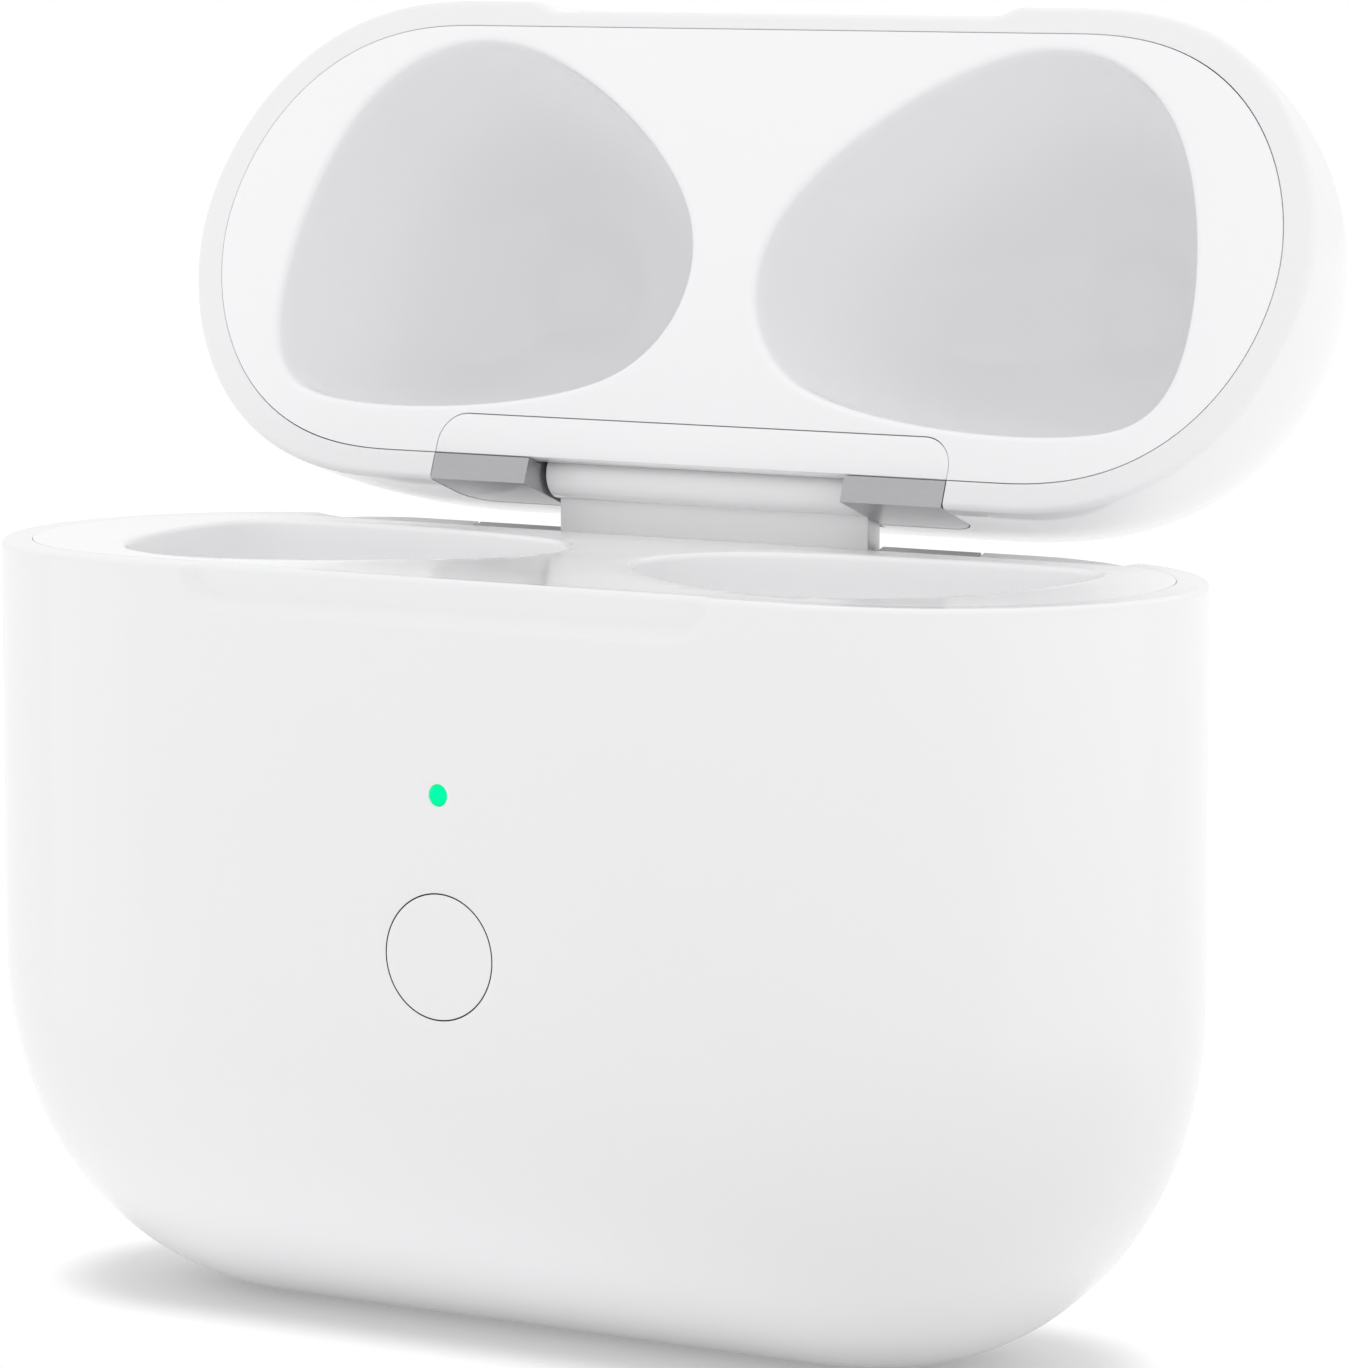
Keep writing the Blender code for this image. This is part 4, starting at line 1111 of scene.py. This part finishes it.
panels = {
    "table": (far, LEVELS["table"]),
    "halo": (math_node(tree, "MULTIPLY", far, math_node(tree, "SUBTRACT", 1.0, rise(tree, dist, 0.0105, 0.020))), LEVELS["halo"]),
    "left_panel": (math_node(tree, "MULTIPLY", math_node(tree, "MULTIPLY", rise(tree, az, -72, -66), math_node(tree, "SUBTRACT", 1.0, rise(tree, az, -42, -38))), rise(tree, rho, 0.05, 0.09)), LEVELS["left_panel"]),
    "right_panel": (math_node(tree, "MULTIPLY", math_node(tree, "MULTIPLY", rise(tree, az, 54, 66), math_node(tree, "SUBTRACT", 1.0, rise(tree, az, 116, 128))), rise(tree, rho, 0.05, 0.09)), LEVELS["right_panel"]),
    "ground": (None, LEVELS["ground"]),
}
total = None
for key, (mask, level) in panels.items():
    v = tree.nodes.new("ShaderNodeValue")
    v.name = v.label = key
    v.outputs[0].default_value = level
    term = v.outputs[0] if mask is None else math_node(tree, "MULTIPLY", mask, v.outputs[0])
    total = term if total is None else math_node(tree, "ADD", total, term)
s.inputs["Emission Color"].default_value = (1, 1, 1, 1)
tree.links.new(total, s.inputs["Emission Strength"])
floor.data.materials.append(fm)


def softbox(name, pos, aim, w, h, power, colour=(1, 1, 1)):
    d = bpy.data.lights.new(name, "AREA")
    d.shape, d.size, d.size_y, d.energy, d.color = "RECTANGLE", w, h, power, colour
    o = bpy.data.objects.new(name, d)
    bpy.context.scene.collection.objects.link(o)
    o.location = pos
    o.rotation_euler = (Vector(aim) - Vector(pos)).to_track_quat("-Z", "Y").to_euler()
    o.visible_camera = False
    return o


world = bpy.data.worlds.new("studio")
bpy.context.scene.world = world
world.use_nodes = True
world.node_tree.nodes["Background"].inputs["Color"].default_value = (1, 1, 1, 1)
world.node_tree.nodes["Background"].inputs["Strength"].default_value = LEVELS["world"]

softbox("overhead", (0.0, -0.10, 0.9), (0, 0, 0.02), 1.0, 1.0, LEVELS["overhead"])
softbox("back_top", (0.0, 0.8, 0.9), (0, 0.2, 0.0), 1.4, 1.0, LEVELS["back_top"])

view = bpy.context.scene.view_settings
view.view_transform = "Standard"
view.look = "None"
view.exposure, view.gamma = 0.0, 1.0
